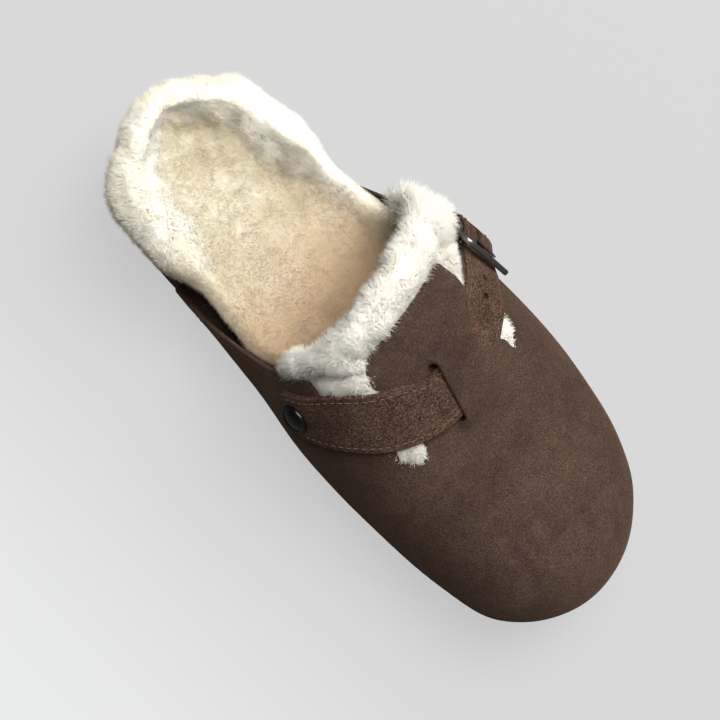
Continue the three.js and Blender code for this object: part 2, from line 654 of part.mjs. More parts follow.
// Shearling over the footbed; behind the upper it swells over the cup's rim and past the sole's edge.
const openHeel = (y) => 1 - smooth(REAR_Y - 22, REAR_Y - 4, y);
function makeSock() {
  const low = (share, extra = 0) => (x, y) => bedTop(share)(x, y) + 2 * GAP + JUTE + extra;
  const pile = (y) => SOCK_PILE - 2.5 * smooth(20, 90, y);
  const high = (share, extra = 0) => (x, y) => low(share)(x, y) + pile(y) + extra;
  const rim = (closed, open) => (y) => closed + (open - closed) * openHeel(y);
  const past = SOCK_OVERHANG - FOOTBED_INSET;
  return ringBody([
    { share: 0, z: high(0) },
    { share: 0.25, z: high(0.25) },
    { share: 0.5, z: high(0.5, -0.5) },
    { share: 0.72, z: high(0.72, -1) },
    { share: 1, out: rim(-7.9, past - 8), z: (x, y) => high(1)(x, y) - 2.5 + RIM_SWELL * openHeel(y) },
    { share: 1, out: rim(-4.9, past), z: (x, y) => low(1)(x, y) + 2.5 + 0.5 * openHeel(y) },
    { share: 1, out: rim(-4.4, past - 1), z: (x, y) => low(1)(x, y) - 6 * openHeel(y) },
    { share: 1, out: rim(-4.6, 0.5), z: (x, y) => low(1)(x, y) - 5 * openHeel(y) },
    { share: 1, out: rim(-4.8, -1.9), z: (x, y) => low(1)(x, y) - 2.8 * openHeel(y) },
    { share: 1, out: rim(-5.1, -5.1), z: low(1) },
    { share: 0.72, z: low(0.72) },
    { share: 0.5, z: low(0.5) },
    { share: 0.25, z: low(0.25) },
    { share: 0, z: low(0) },
  ]);
}

// ---------------------------------------------------------------- the upper, its lining and the cuff
const slitHole = () => {
  const [[x0, y0], [x1, y1]] = [SLIT.from, SLIT.to];
  const half = SLIT.width / 2;
  const points = [];
  for (let i = 0; i <= 4; i++) points.push([x1 + half * Math.cos((i / 4) * Math.PI), y1 + half * Math.sin((i / 4) * Math.PI)]);
  for (let i = 0; i <= 4; i++) points.push([x0 - half * Math.cos((i / 4) * Math.PI), y0 - half * Math.sin((i / 4) * Math.PI)]);
  return points;
};
const stud = hardware(STUD_AT, 0);
const chapeRivet = hardware(BUCKLE_AT + BUCKLE_REACH / 2 + CHAPE_RIVET_AT, 0);
const shankHole = ({ at, up }, extra = 0.15) => placed(rod(SHANK_RADIUS + extra, -4, 12), at, up);
function makeUpper() {
  const over = (x, y) => tabLift(x, y) + SUEDE;
  return panel(upperOutline(), tabLift, over, [slitHole()])
    .subtract(shankHole(stud))
    .subtract(shankHole(chapeRivet));
}

const LINING_FOOT = 17;
const LINING_REAR = -33;
const TAB_BACK = [[46.5, -9], [38, -4], [30, 1], [24, 3], [19, 0.4], [0, -1.4], [-18, -5], [-25.5, -6.5], [-36, -9.5], [-46.5, -12]];
function makeLining() {
  const rear = collarLine(OUTER, 0, LINING_REAR + 3).map(([x, y]) => [x, y + 0.8]);
  const front = collarLine(INNER, 0, LINING_REAR + 3).map(([x, y]) => [x, y + 0.8]);
  const outline = [...footRound(-LINING_FOOT, LINING_REAR + 3), ...rear, ...TAB_BACK.slice().reverse(), ...front.reverse()];
  return panel(outline, -GAP - LINING_PILE, -GAP)
    .subtract(placed(rod(BASE_RADIUS + GAP, -2, 1), stud.at, stud.up))
    .subtract(placed(rod(BASE_RADIUS + GAP, -2, 1), chapeRivet.at, chapeRivet.up));
}
const CUFF_REAR = -36;
const CUFF_MIDDLE = [[-36, -10.8], [-25.7, -7.8], [-18, -6.4], [0, -2.8], [19, -1], [24, 1.6], [30, -0.4], [38, -5.4]];
const CUFF_BACK = [
  [78, -41], [66, -31.5], [54, -24.5], [42, -18.5], [28, -14.5], [12, -14], [0, -16], [-16, -19.5], [-28, -22.5], [-42, -25.5],
  [-54, -29], [-68, -35.5], [-80, -43],
];
function makeCuff() {
  const line = (side) => {
    const used = [CUFF_REAR, -30, -20, -12].map((y) => upFrom(side, y, through(COLLAR, y)));
    return [...used, [side * 46.6, side === INNER ? -8.6 : -11.4]].map(([x, y]) => [x, y - 1.4]);
  };
  return panel([...line(OUTER), ...CUFF_MIDDLE, ...line(INNER).reverse(), ...CUFF_BACK], -GAP - LINING_PILE, 1.2);
}

// ---------------------------------------------------------------- the strap, its stud and its buckle
const HINGE_AT = BUCKLE_AT + BUCKLE_REACH / 2;
const STRAP_END = HINGE_AT + 19.5;
const punched = (layer) => {
  let cut = layer.subtract(shankHole(stud)).subtract(strapCutter(HINGE_AT - 5.6, 11.5, PRONG_WIDTH + 1.6));
  for (const at of HOLES_AT) cut = cut.subtract(strapCutter(at, HOLE_RADIUS * 2 + 0.01, HOLE_RADIUS * 2));
  return cut;
};
function makeStrap() {
  const under = (x, y) => strapUnder(x, y) + STRAP_BACKING + GAP;
  return punched(strapLayer(STRAP_END, under, (x, y) => under(x, y) + STRAP_FACE));
}
const makeBacking = () => punched(strapLayer(STRAP_END, strapUnder, (x, y) => strapUnder(x, y) + STRAP_BACKING));
const STRAP_TOP = STRAP_REST + STRAP_THICK;
function capRivet(place, seat, radius, height) {
  const rows = [
    [0, -0.1], [SHANK_RADIUS, -0.1], [SHANK_RADIUS, seat + GAP], [radius, seat + GAP], [radius, seat + GAP + height * 0.3],
    [radius * 0.86, seat + GAP + height * 0.72], [radius * 0.5, seat + GAP + height * 0.95], [0, seat + GAP + height],
  ];
  return placed(turned(rows), place.at, place.up);
}
const baseRivet = (place) => placed(rod(BASE_RADIUS, -GAP - 1.1, -GAP - 0.1), place.at, place.up);

// The buckle's frame of reference: its origin on the bar, `fore` to the front bar, `across` the strap, `out` of it.
const hinge = hardware(HINGE_AT, STRAP_REST + LOOP_RADIUS);
// The frame's tilt is the least that lifts its front bar clear of the strap along the whole of its length.
const fore0 = onLast(...strapPoint(HINGE_AT - BUCKLE_REACH, 0), STRAP_REST + LOOP_RADIUS).sub(hinge.at).normalize();
const out0 = hinge.up.clone().addScaledVector(fore0, -hinge.up.dot(fore0)).normalize();
const across = out0.clone().cross(fore0);
let tilt = 0;
for (let t = -5; t <= 5; t += 1) {
  for (let w = -STRAP_WIDTH / 2; w <= STRAP_WIDTH / 2; w += 1) {
    const [x, y] = strapPoint(HINGE_AT - BUCKLE_REACH - t, w);
    const p = onLast(x, y, strapUnder(x, y) + STRAP_THICK).sub(hinge.at);
    const ahead = p.dot(fore0);
    if (Math.abs(ahead - BUCKLE_REACH) > BUCKLE_RAIL) continue;
    tilt = Math.max(tilt, (p.dot(out0) + FRAME_THICK / 2 + GAP) / ahead);
  }
}
const fore = fore0.clone().addScaledVector(out0, tilt).normalize();
const out = out0.clone().addScaledVector(fore0, -tilt).normalize();
const inBuckle = (geometry) => {
  const basis = new THREE.Matrix4().makeBasis(fore, across, out).setPosition(hinge.at);
  const moved = geometry.clone().applyMatrix4(basis);
  return basis.determinant() > 0 ? moved : flipped(moved);
};
function flipped(geometry) {
  const bare = geometry.index ? geometry.toNonIndexed() : geometry;
  const position = bare.getAttribute("position");
  const values = [];
  for (let i = 0; i < position.count; i += 3) {
    for (const k of [i, i + 2, i + 1]) values.push(position.getX(k), position.getY(k), position.getZ(k));
  }
  const turned1 = new THREE.BufferGeometry();
  turned1.setAttribute("position", new THREE.Float32BufferAttribute(values, 3));
  return turned1;
}
function makeFrame() {
  const [wide, tall] = [BUCKLE_INNER / 2, BUCKLE_REACH - BUCKLE_RAIL / 2];
  const ring = new THREE.Shape([
    [-1.6, -wide - BUCKLE_RAIL], [tall, -wide - BUCKLE_RAIL], [tall + BUCKLE_RAIL * 0.7, -wide - BUCKLE_RAIL * 0.4],
    [tall + BUCKLE_RAIL, -wide + 1], [tall + BUCKLE_RAIL, wide - 1], [tall + BUCKLE_RAIL * 0.7, wide + BUCKLE_RAIL * 0.4],
    [tall, wide + BUCKLE_RAIL], [-1.6, wide + BUCKLE_RAIL], [-1.6, wide], [tall - 1, wide], [tall, wide - 1],
    [tall, -wide + 1], [tall - 1, -wide], [-1.6, -wide],
  ].map(([x, y]) => new THREE.Vector2(x, y)));
  const flat = new THREE.ExtrudeGeometry(ring, { depth: FRAME_THICK, bevelEnabled: false, curveSegments: 5 });
  flat.translate(0, 0, -FRAME_THICK / 2);
  const bar = turned([[0, -wide - 1], [BAR_RADIUS, -wide - 1], [BAR_RADIUS, wide + 1], [0, wide + 1]], 24);
  return solidOf(inBuckle(flat)).add(solidOf(inBuckle(bar)));
}
const LOOP_INNER = BAR_RADIUS + BAR_CLEARANCE;
const circle = (x, y, r, count, maker) => {
  const points = [];
  for (let i = 0; i < count; i++) {
    const a = (i / count) * 2 * Math.PI;
    points.push(new THREE.Vector2(x + r * Math.cos(a), y + r * Math.sin(a)));
  }
  return new maker(points);
};
function makeProng() {
  const root = circle(0, 0, LOOP_INNER + 0.9, 20, THREE.Shape);
  root.holes = [circle(0, 0, LOOP_INNER, 24, THREE.Path)];
  const rest = FRAME_THICK / 2 + GAP;
  const arm = new THREE.Shape([
    [0.2, LOOP_INNER + 0.1], [1.6, LOOP_INNER - 0.5], [BUCKLE_REACH - 3, rest + 0.05], [BUCKLE_REACH + BUCKLE_RAIL / 2 + 1, rest],
    [BUCKLE_REACH + BUCKLE_RAIL / 2 + 1, rest + 0.8], [BUCKLE_REACH - 3, rest + 1.3], [1.6, LOOP_INNER + 1], [0.2, LOOP_INNER + 0.85],
  ].map(([x, y]) => new THREE.Vector2(x, y)));
  const thick = { depth: PRONG_WIDTH, bevelEnabled: false };
  // Drawn in fore and out, and thick across.
  const stand = (shape) => {
    const geometry = new THREE.ExtrudeGeometry(shape, thick).translate(0, 0, -PRONG_WIDTH / 2);
    return solidOf(inBuckle(geometry.rotateX(Math.PI / 2)));
  };
  return stand(root).add(stand(arm));
}
function makeChape() {
  const end = HINGE_AT + CHAPE_END;
  const low = STRAP_REST;
  const middle = low + LOOP_RADIUS;
  const points = [];
  for (let i = 0; i <= 6; i++) points.push([end - ((end - HINGE_AT - 1) * i) / 6, low]);
  for (let i = 0; i <= 12; i++) {
    const a = -Math.PI / 2 - (i / 12) * Math.PI;
    points.push([HINGE_AT + LOOP_RADIUS * Math.cos(a), middle + LOOP_RADIUS * Math.sin(a)]);
  }
  points.push([HINGE_AT + 3, middle + 1.6], [HINGE_AT + 6, low + 2 * CHAPE_THICK + 0.8]);
  for (let i = 0; i <= 4; i++) points.push([HINGE_AT + 9 + ((end - HINGE_AT - 9) * i) / 4, low + 2 * CHAPE_THICK]);
  const shape = new THREE.Shape(points.map(([x, y]) => new THREE.Vector2(x, y)));
  shape.holes = [circle(HINGE_AT, middle, LOOP_INNER, 24, THREE.Path)];
  const geometry = new THREE.ExtrudeGeometry(shape, { depth: CHAPE_WIDTH, steps: 4, bevelEnabled: false });
  const position = geometry.getAttribute("position");
  for (let i = 0; i < position.count; i++) {
    const [along, height, w] = [position.getX(i), position.getY(i), position.getZ(i) - CHAPE_WIDTH / 2];
    const laid = onLast(...strapPoint(along, w), height);
    const straight = hinge.at.clone().addScaledVector(fore0, HINGE_AT - along)
      .addScaledVector(across, w).addScaledVector(out0, height - middle);
    const p = straight.lerp(laid, smooth(4, 11, along - HINGE_AT));
    position.setXYZ(i, p.x, p.y, p.z);
  }
  const slot = new THREE.BoxGeometry(14, PRONG_WIDTH + 0.8, 12).translate(2, 0, 0);
  return solidOf(geometry).subtract(solidOf(inBuckle(slot))).subtract(shankHole(chapeRivet));
}

// ---------------------------------------------------------------- the assembly
const paint = (color, roughness, metalness = 0) => new THREE.MeshStandardMaterial({ color, roughness, metalness });
const SUEDE_PAINT = paint(0x5a483e, 0.95);
const STRAP_PAINT = paint(0x47362e, 0.95);
const FLEECE_PAINT = paint(0xded8c8, 1);
const CORK_PAINT = paint(0xb08a5e, 0.9);
const JUTE_PAINT = paint(0xc3a878, 0.95);
const SOLE_PAINT = paint(0x2c2420, 0.85);
const METAL_PAINT = paint(0x747472, 0.4, 1);
const STUD_PAINT = paint(0x1a1a18, 0.35, 1);

const clog = new THREE.Group();
const add = (name, solid, material) => {
  const mesh = new THREE.Mesh(geometryOf(solid), material);
  mesh.name = name;
  clog.add(mesh);
};
add("outsole", makeOutsole(), SOLE_PAINT);
add("midsole", makeMidsole(), CORK_PAINT);
add("footbed", makeFootbed(), CORK_PAINT);
add("footbed_jute", makeJute(), JUTE_PAINT);
add("footbed_shearling", makeSock(), FLEECE_PAINT);
add("upper", makeUpper(), SUEDE_PAINT);
add("upper_lining", makeLining(), FLEECE_PAINT);
add("collar_cuff", makeCuff(), FLEECE_PAINT);
add("strap", makeStrap(), STRAP_PAINT);
add("strap_backing", makeBacking(), STRAP_PAINT);
add("stud", capRivet(stud, STRAP_TOP, STUD_RADIUS, STUD_HEIGHT), STUD_PAINT);
add("stud_base", baseRivet(stud), METAL_PAINT);
add("chape", makeChape(), STRAP_PAINT);
add("chape_rivet", capRivet(chapeRivet, STRAP_REST + 2 * CHAPE_THICK, 3.2, 1.2), METAL_PAINT);
add("chape_rivet_base", baseRivet(chapeRivet), METAL_PAINT);
add("buckle_frame", makeFrame(), METAL_PAINT);
add("buckle_prong", makeProng(), METAL_PAINT);

export default clog;
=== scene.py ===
"""An open-back suede clog with a buckled instep strap, lined with shearling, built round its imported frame.

All the shoe's leather is drawn flat, as a pattern is, in millimetres, and then laid on a last. Lengths in the
classes are millimetres, and every finished mesh is in metres.
"""
import logging
import math
from dataclasses import dataclass, field
from enum import Enum
from typing import Callable, Sequence

import bmesh
import bpy
import numpy as np
from mathutils import Matrix, Vector
from mathutils.geometry import delaunay_2d_cdt


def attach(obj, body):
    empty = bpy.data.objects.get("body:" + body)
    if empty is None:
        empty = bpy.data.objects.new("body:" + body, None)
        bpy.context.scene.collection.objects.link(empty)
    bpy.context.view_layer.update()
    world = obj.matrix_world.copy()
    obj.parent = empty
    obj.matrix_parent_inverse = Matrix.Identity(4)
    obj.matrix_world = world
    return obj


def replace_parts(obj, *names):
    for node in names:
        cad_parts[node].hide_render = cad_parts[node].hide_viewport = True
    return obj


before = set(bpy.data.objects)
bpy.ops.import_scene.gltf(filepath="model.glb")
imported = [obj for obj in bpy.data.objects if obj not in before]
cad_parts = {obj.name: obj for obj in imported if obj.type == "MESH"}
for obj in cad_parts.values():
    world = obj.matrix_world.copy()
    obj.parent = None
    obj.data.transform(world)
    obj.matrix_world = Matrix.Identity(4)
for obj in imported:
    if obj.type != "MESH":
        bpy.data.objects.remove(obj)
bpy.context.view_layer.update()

LOG = logging.getLogger("clog")
MM = 0.001
Array = np.ndarray
Heights = Callable[[Array], Array]
Rows = Sequence[tuple[float, float]]
WASHER: Rows = ((3.7, -1.4), (4, -1.2), (4, -0.65), (3.7, -0.42), (1.2, -0.42))


class Side(Enum):
    """The two sides of the foot, with the sign of X on each."""

    INNER = 1
    OUTER = -1


def smooth(low: float, high: float, value: Array) -> Array:
    """A soft step from 0 at `low` to 1 at `high`."""
    s = np.clip((np.asarray(value, float) - low) / (high - low), 0, 1)
    return s * s * (3 - 2 * s)


def through(rows: Rows, key: Array) -> Array:
    """A smooth curve through value rows.

    Args:
        rows: pairs of key and value, the keys all rising.
        key: where the curve is wanted.

    Returns:
        The curve's values at the keys.
    """
    xs, ys = np.array(rows, float).T
    last = len(xs) - 1
    before, after = np.maximum(np.arange(last + 1) - 1, 0), np.minimum(np.arange(last + 1) + 1, last)
    slopes = (ys[after] - ys[before]) / (xs[after] - xs[before])
    key = np.asarray(key, float)
    i = np.clip(np.searchsorted(xs, key) - 1, 0, last - 1)
    h = xs[i + 1] - xs[i]
    s = np.clip((key - xs[i]) / h, 0, 1)
    s2, s3 = s * s, s * s * s
    return ((2 * s3 - 3 * s2 + 1) * ys[i] + (s3 - 2 * s2 + s) * h * slopes[i]
            + (3 * s2 - 2 * s3) * ys[i + 1] + (s3 - s2) * h * slopes[i + 1])


def bend(points: Sequence[Sequence[float]], count: int) -> Array:
    """A smooth curve drawn through points, at evenly spaced places.

    Args:
        points: what the curve passes through, in two or three dimensions.
        count: how many points to return.

    Returns:
        The points of the curve, from its first to its last.
    """
    p = np.array(points, float)
    u = np.linspace(0, len(p) - 1, 60 * len(p))
    i = np.minimum(u.astype(int), len(p) - 2)
    s = (u - i)[:, None]
    p0, p1, p2, p3 = p[np.maximum(i - 1, 0)], p[i], p[i + 1], p[np.minimum(i + 2, len(p) - 1)]
    v0, v1 = (p2 - p0) / 2, (p3 - p1) / 2
    dense = (2 * p1 - 2 * p2 + v0 + v1) * s ** 3 + (3 * p2 - 3 * p1 - 2 * v0 - v1) * s ** 2 + v0 * s + p1
    return spaced(dense, count)


def spaced(points: Array, count: int) -> Array:
    """Evenly spaced points along a line of straight pieces."""
    p = np.asarray(points, float)
    run = np.concatenate([[0], np.cumsum(np.linalg.norm(np.diff(p, axis=0), axis=1))])
    at = np.linspace(0, run[-1], count)
    return np.stack([np.interp(at, run, p[:, k]) for k in range(p.shape[1])], 1)


def closed(points: Sequence[Sequence[float]], pitch: float) -> Array:
    """A closed outline at an even pitch, its first point not repeated."""
    p = np.array([*points, points[0]], float)
    size = np.linalg.norm(np.diff(p, axis=0), axis=1).sum()
    return spaced(p, max(8, int(size / pitch)) + 1)[:-1]


def nearest(points: Array, others: Array) -> tuple[Array, Array]:
    """How far each point is from the nearest of the others, and which that is."""
    far, which = np.empty(len(points)), np.empty(len(points), int)
    for start in range(0, len(points), 2000):
        part = points[start:start + 2000]
        gap = np.linalg.norm(part[:, None] - others[None], axis=2)
        which[start:start + 2000] = gap.argmin(1)
        far[start:start + 2000] = gap.min(1)
    return far, which


def inside(points: Array, outline: Array) -> Array:
    """Which of the points lie inside an outline."""
    x, y = points.T
    odd = np.zeros(len(points), bool)
    for (ax, ay), (bx, by) in zip(outline, np.roll(outline, -1, axis=0)):
        if ay == by:
            continue
        crosses = (ay > y) != (by > y)
        odd ^= crosses & (x < (bx - ax) * (y - ay) / (by - ay) + ax)
    return odd


def unit(ways: Array) -> Array:
    """Directions brought to length one."""
    return ways / np.maximum(np.linalg.norm(ways, axis=-1, keepdims=True), 1e-9)


def rolled(depth: Array, radius: float) -> Array:
    """How far a rounded edge has dropped at a distance in from its outline."""
    d = np.clip(depth / radius, 0, 1)
    return radius * (1 - np.sqrt(np.maximum(0, 1 - (1 - d) ** 2)))


@dataclass(frozen=True)
class Drift:
    """A soft random field: a sum of waves in random directions, the same at every run."""

    seed: int
    longest: float
    shortest: float
    waves: int = 28

    def __call__(self, points: Array) -> Array:
        """The field's values, mostly between -1 and 1."""
        rng = np.random.default_rng(self.seed)
        total = np.zeros(len(points))
        for _ in range(self.waves):
            way = rng.normal(size=points.shape[1])
            way /= np.linalg.norm(way)
            size = math.exp(rng.uniform(math.log(self.shortest), math.log(self.longest)))
            total += np.sin(points @ way * (2 * math.pi / size) + rng.uniform(0, 2 * math.pi))
        return total / math.sqrt(self.waves / 2) / 1.6


# ---------------------------------------------------------------- the sole's outline and the last
@dataclass
class Outline:
    """The sole's outline and how it lifts at the toe."""

    toe_y: float = 122
    heel_y: float = -125
    toe_turn: float = 6
    toe_spring: float = 7
    spring_from: float = 55
    toe_pole: float = 84
    heel_pole: float = -91
    widths: tuple[tuple[float, float, float], ...] = (
        (122, 0, 0), (119, 14, 15), (112, 25.5, 26.5), (102, 33.5, 35.5), (85, 38.5, 42.5), (60, 42.8, 45.8),
        (35, 44, 46.5), (8, 42, 45), (-22, 37, 40.5), (-52, 33.5, 35.5), (-80, 32, 33), (-105, 27.5, 28),
        (-118, 18, 18), (-125, 0, 0))

    @property
    def middle(self) -> float:
        """Half way along the sole."""
        return (self.toe_y + self.heel_y) / 2

    @property
    def half(self) -> float:
        """Half of the sole's length."""
        return (self.toe_y - self.heel_y) / 2

    def turn(self, y: Array) -> Array:
        """The turn at a station, 0 at the toe's tip and pi at the heel's."""
        return np.arccos(np.clip((np.asarray(y, float) - self.middle) / self.half, -1, 1))

    def axis(self, y: Array) -> Array:
        """How far the outline's middle lies to the inner side at a station."""
        return self.toe_turn * smooth(40, self.toe_y, y)

    def spring(self, y: Array) -> Array:
        """How far the sole has lifted off the floor at a station."""
        past = np.maximum(0, np.asarray(y, float) - self.spring_from)
        return self.toe_spring * (past / (self.toe_y - self.spring_from)) ** 2

    def edge(self, side: Side, turn: Array) -> tuple[Array, Array]:
        """The outline's point at a turn, on one side."""
        column = 1 if side is Side.INNER else 2
        rows = [(float(self.turn(row[0])), row[column]) for row in self.widths]
        y = self.middle + self.half * np.cos(turn)
        return self.axis(y) + side.value * through(rows, turn), y


@dataclass
class Last:
    """The form that the leather is pulled over, with a flat pattern of its surface.

    A pattern point is its distance along its own section from the ridge, in the section's plan direction.
    """

    outline: Outline = field(default_factory=Outline)
    bulge: float = 4.6
    widest_rise: float = 8
    feather: float = 17.7
    toe_box: float = 58
    ridge_rise: float = 0.0757
    ridge_power: float = 1.35
    arch_power: float = 2.25
    blend: float = 20
    step: float = 0.5

    def __post_init__(self) -> None:
        """Tabulates each side's sections once."""
        self.tables = {side: self._tabulate(side) for side in Side}

    def _ridge_behind(self, y: Array) -> Array:
        """The spine's station behind an outline station: it stops at the toe's pole."""
        pole, blend = self.outline.toe_pole, self.blend
        eased = pole - (pole + blend - y) ** 2 / (4 * blend)
        return np.where(y <= pole - blend, y, np.where(y >= pole + blend, pole, eased))

    def _tabulate(self, side: Side) -> dict[str, Array]:
        """The sections of one side, from the toe back, with their profiles at even lengths.

        Args:
            side: which side of the foot.

        Returns:
            The tables by name: stations, ridge, ways, radii, heights and girths.
        """
        turn = np.linspace(0, float(self.outline.turn(-124.5)), 900)
        x, y = self.outline.edge(side, turn)
        ridge = self._ridge_behind(y)
        reach = np.hypot(x, y - ridge)
        lift = self.outline.spring(y)
        inward = self.outline.spring(np.minimum(y, self.outline.toe_pole))
        widest = self.feather + lift + self.widest_rise
        top = self.toe_box + self.ridge_rise * np.maximum(0, self.outline.toe_pole - ridge) ** self.ridge_power
        power = 2 / self.arch_power
        a, b = np.linspace(0, math.pi / 2, 160), np.linspace(0, math.pi / 2, 30)[1:]
        lengths = np.arange(int(190 / self.step)) * self.step
        radius, height = np.zeros((len(turn), len(lengths))), np.zeros((len(turn), len(lengths)))
        girth = np.zeros(len(turn))
        for i in range(len(turn)):
            r = np.concatenate([(reach[i] + self.bulge) * np.sin(a) ** power, reach[i] + self.bulge * np.cos(b)])
            z = np.concatenate([widest[i] + (top[i] - widest[i]) * np.maximum(0, np.cos(a)) ** power,
                                widest[i] - self.widest_rise * np.sin(b)])
            run = np.concatenate([[0], np.cumsum(np.hypot(np.diff(r), np.diff(z)))])
            girth[i] = run[-1]
            past = lengths > girth[i]
            radius[i] = np.where(past, reach[i] - (lengths - girth[i]), np.interp(lengths, run, r))
            under = self.feather + inward[i] + (lift[i] - inward[i]) * radius[i] / reach[i]
            height[i] = np.where(past, under, np.interp(lengths, run, z))
        return {"y": y, "ridge": ridge, "wx": x / reach, "wy": (y - ridge) / reach, "r": radius, "z": height,
                "girth": girth}

    def _one_side(self, side: Side, points: Array) -> Array:
        """The bare surface's points under pattern points of one side.

        Args:
            side: which side of the foot.
            points: the pattern points.

        Returns:
            The points, in millimetres.
        """
        t = self.tables[side]
        px, py = points.T

        def at(name: str, f: Array) -> Array:
            """A table's value between two of its sections."""
            i = f.astype(int)
            return t[name][i] * (1 - (f - i)) + t[name][i + 1] * (f - i)

        low, high = np.zeros(len(px)), np.full(len(px), len(t["y"]) - 1.001)
        for _ in range(24):
            f = (low + high) / 2
            behind = side.value * (at("wx", f) * (py - at("ridge", f)) - at("wy", f) * px) < 0
            low, high = np.where(behind, f, low), np.where(behind, high, f)
        i, place = f.astype(int), np.clip(np.hypot(px, py - at("ridge", f)) / self.step, 0, 378.999)
        j = place.astype(int)
        s, u = f - i, place - j
        r, z = ((t[k][i, j] * (1 - s) + t[k][i + 1, j] * s) * (1 - u)
                + (t[k][i, j + 1] * (1 - s) + t[k][i + 1, j + 1] * s) * u for k in ("r", "z"))
        return np.stack([at("wx", f) * r, at("ridge", f) + at("wy", f) * r, z], 1)

    def surface(self, points: Array) -> Array:
        """The bare surface's points, in millimetres, under pattern points."""
        points = np.asarray(points, float).reshape(-1, 2)
        middle = np.where(points[:, 1] > 84, (points[:, 1] - 84) * self.outline.toe_turn / 38, 0)
        inner = points[:, 0] >= middle
        found = np.zeros((len(points), 3))
        for side, mask in ((Side.INNER, inner), (Side.OUTER, ~inner)):
            if mask.any():
                found[mask] = self._one_side(side, points[mask])
        return found

    def normal(self, points: Array, step: float = 0.4) -> Array:
        """The surface's outward directions at pattern points."""
        points = np.asarray(points, float).reshape(-1, 2)
        x, y = np.array([step, 0]), np.array([0, step])
        return unit(np.cross(self.surface(points + x) - self.surface(points - x),
                             self.surface(points + y) - self.surface(points - y)))

    def place(self, points: Array, heights: Array) -> Array:
        """Pattern points laid on the last, at heights over it."""
        return self.surface(points) + self.normal(points) * np.reshape(heights, (-1, 1))

    def foot(self, side: Side, beyond: float, stations: Sequence[float]) -> Array:
        """The pattern points of the feather edge at stations, moved `beyond` it."""
        t = self.tables[side]
        y = -t["y"]
        row = [np.interp(-np.asarray(stations, float), y, t[k]) for k in ("wx", "wy", "ridge", "girth")]
        return np.stack([row[0] * (row[3] + beyond), row[2] + row[1] * (row[3] + beyond)], 1)


# ---------------------------------------------------------------- making meshes
def new_piece(name: str, points: Array, faces: Sequence[Sequence[int]], merge: float = 0) -> bpy.types.Object:
    """A shown piece from points in millimetres.

    Args:
        name: the piece's name.
        points: its corners, one row each.
        faces: its faces, as indexes of corners.
        merge: how close corners are to be joined, in millimetres, or 0.

    Returns:
        The object, at the origin, smooth shaded and facing outwards.
    """
    mesh = bpy.data.meshes.new(name)
    mesh.from_pydata((np.asarray(points) * MM).tolist(), [], [list(map(int, f)) for f in faces])
    work = bmesh.new()
    work.from_mesh(mesh)
    if merge:
        bmesh.ops.remove_doubles(work, verts=work.verts, dist=merge * MM)
        bmesh.ops.dissolve_degenerate(work, edges=work.edges, dist=merge * MM * 0.2)
    bmesh.ops.recalc_face_normals(work, faces=work.faces)
    work.to_mesh(mesh)
    work.free()
    mesh.shade_smooth()
    piece = bpy.data.objects.new(name, mesh)
    bpy.context.scene.collection.objects.link(piece)
    return piece


def bands(count: int, around: int, looped: bool = False) -> list[tuple[int, ...]]:
    """The faces between rings of points.

    Args:
        count: how many rings.
        around: how many points each has.
        looped: whether the last ring joins the first.

    Returns:
        The faces, as indexes of points.
    """
    return [(k * around + i, k * around + (i + 1) % around, (k + 1) % count * around + (i + 1) % around,
             (k + 1) % count * around + i) for k in range(count - (not looped)) for i in range(around)]


def lids(count: int, around: int) -> list[tuple[int, ...]]:
    """The faces that shut a row of rings at its two ends."""
    return [tuple(range(around))[::-1], tuple(range((count - 1) * around, count * around))]


def read_rows(items: bpy.types.bpy_prop_collection, key: str, kind: type = float) -> Array:
    """A property of three numbers of each vertex or triangle, one row each."""
    found = np.empty(len(items) * 3, kind)
    items.foreach_get(key, found)
    return found.reshape(-1, 3)


def choose(piece: bpy.types.Object) -> None:
    """Makes a piece the only one selected, and the active one."""
    bpy.ops.object.select_all(action="DESELECT")
    piece.select_set(True)
    bpy.context.view_layer.objects.active = piece


def apply_all(piece: bpy.types.Object) -> None:
    """Applies a piece's modifiers in their order."""
    choose(piece)
    for modifier in list(piece.modifiers):
        bpy.ops.object.modifier_apply(modifier=modifier.name)


def cut_away(piece: bpy.types.Object, cutters: Sequence[bpy.types.Object]) -> None:
    """Cuts pieces out of a piece, and removes them."""
    for cutter in cutters:
        modifier = piece.modifiers.new("cut", "BOOLEAN")
        modifier.operation, modifier.solver, modifier.object = "DIFFERENCE", "EXACT", cutter
        apply_all(piece)
        mesh = cutter.data
        bpy.data.objects.remove(cutter)
        bpy.data.meshes.remove(mesh)


def smooth_by_angle(piece: bpy.types.Object, degrees: float = 40) -> None:
    """Shades a piece smooth except over its sharp edges."""
    choose(piece)
    bpy.ops.object.shade_smooth_by_angle(angle=math.radians(degrees))


def moved(piece: bpy.types.Object, matrix: Matrix) -> bpy.types.Object:
    """Puts a piece's place into its mesh, by a matrix in metres."""
    piece.data.transform(matrix)
    piece.data.update()
    return piece


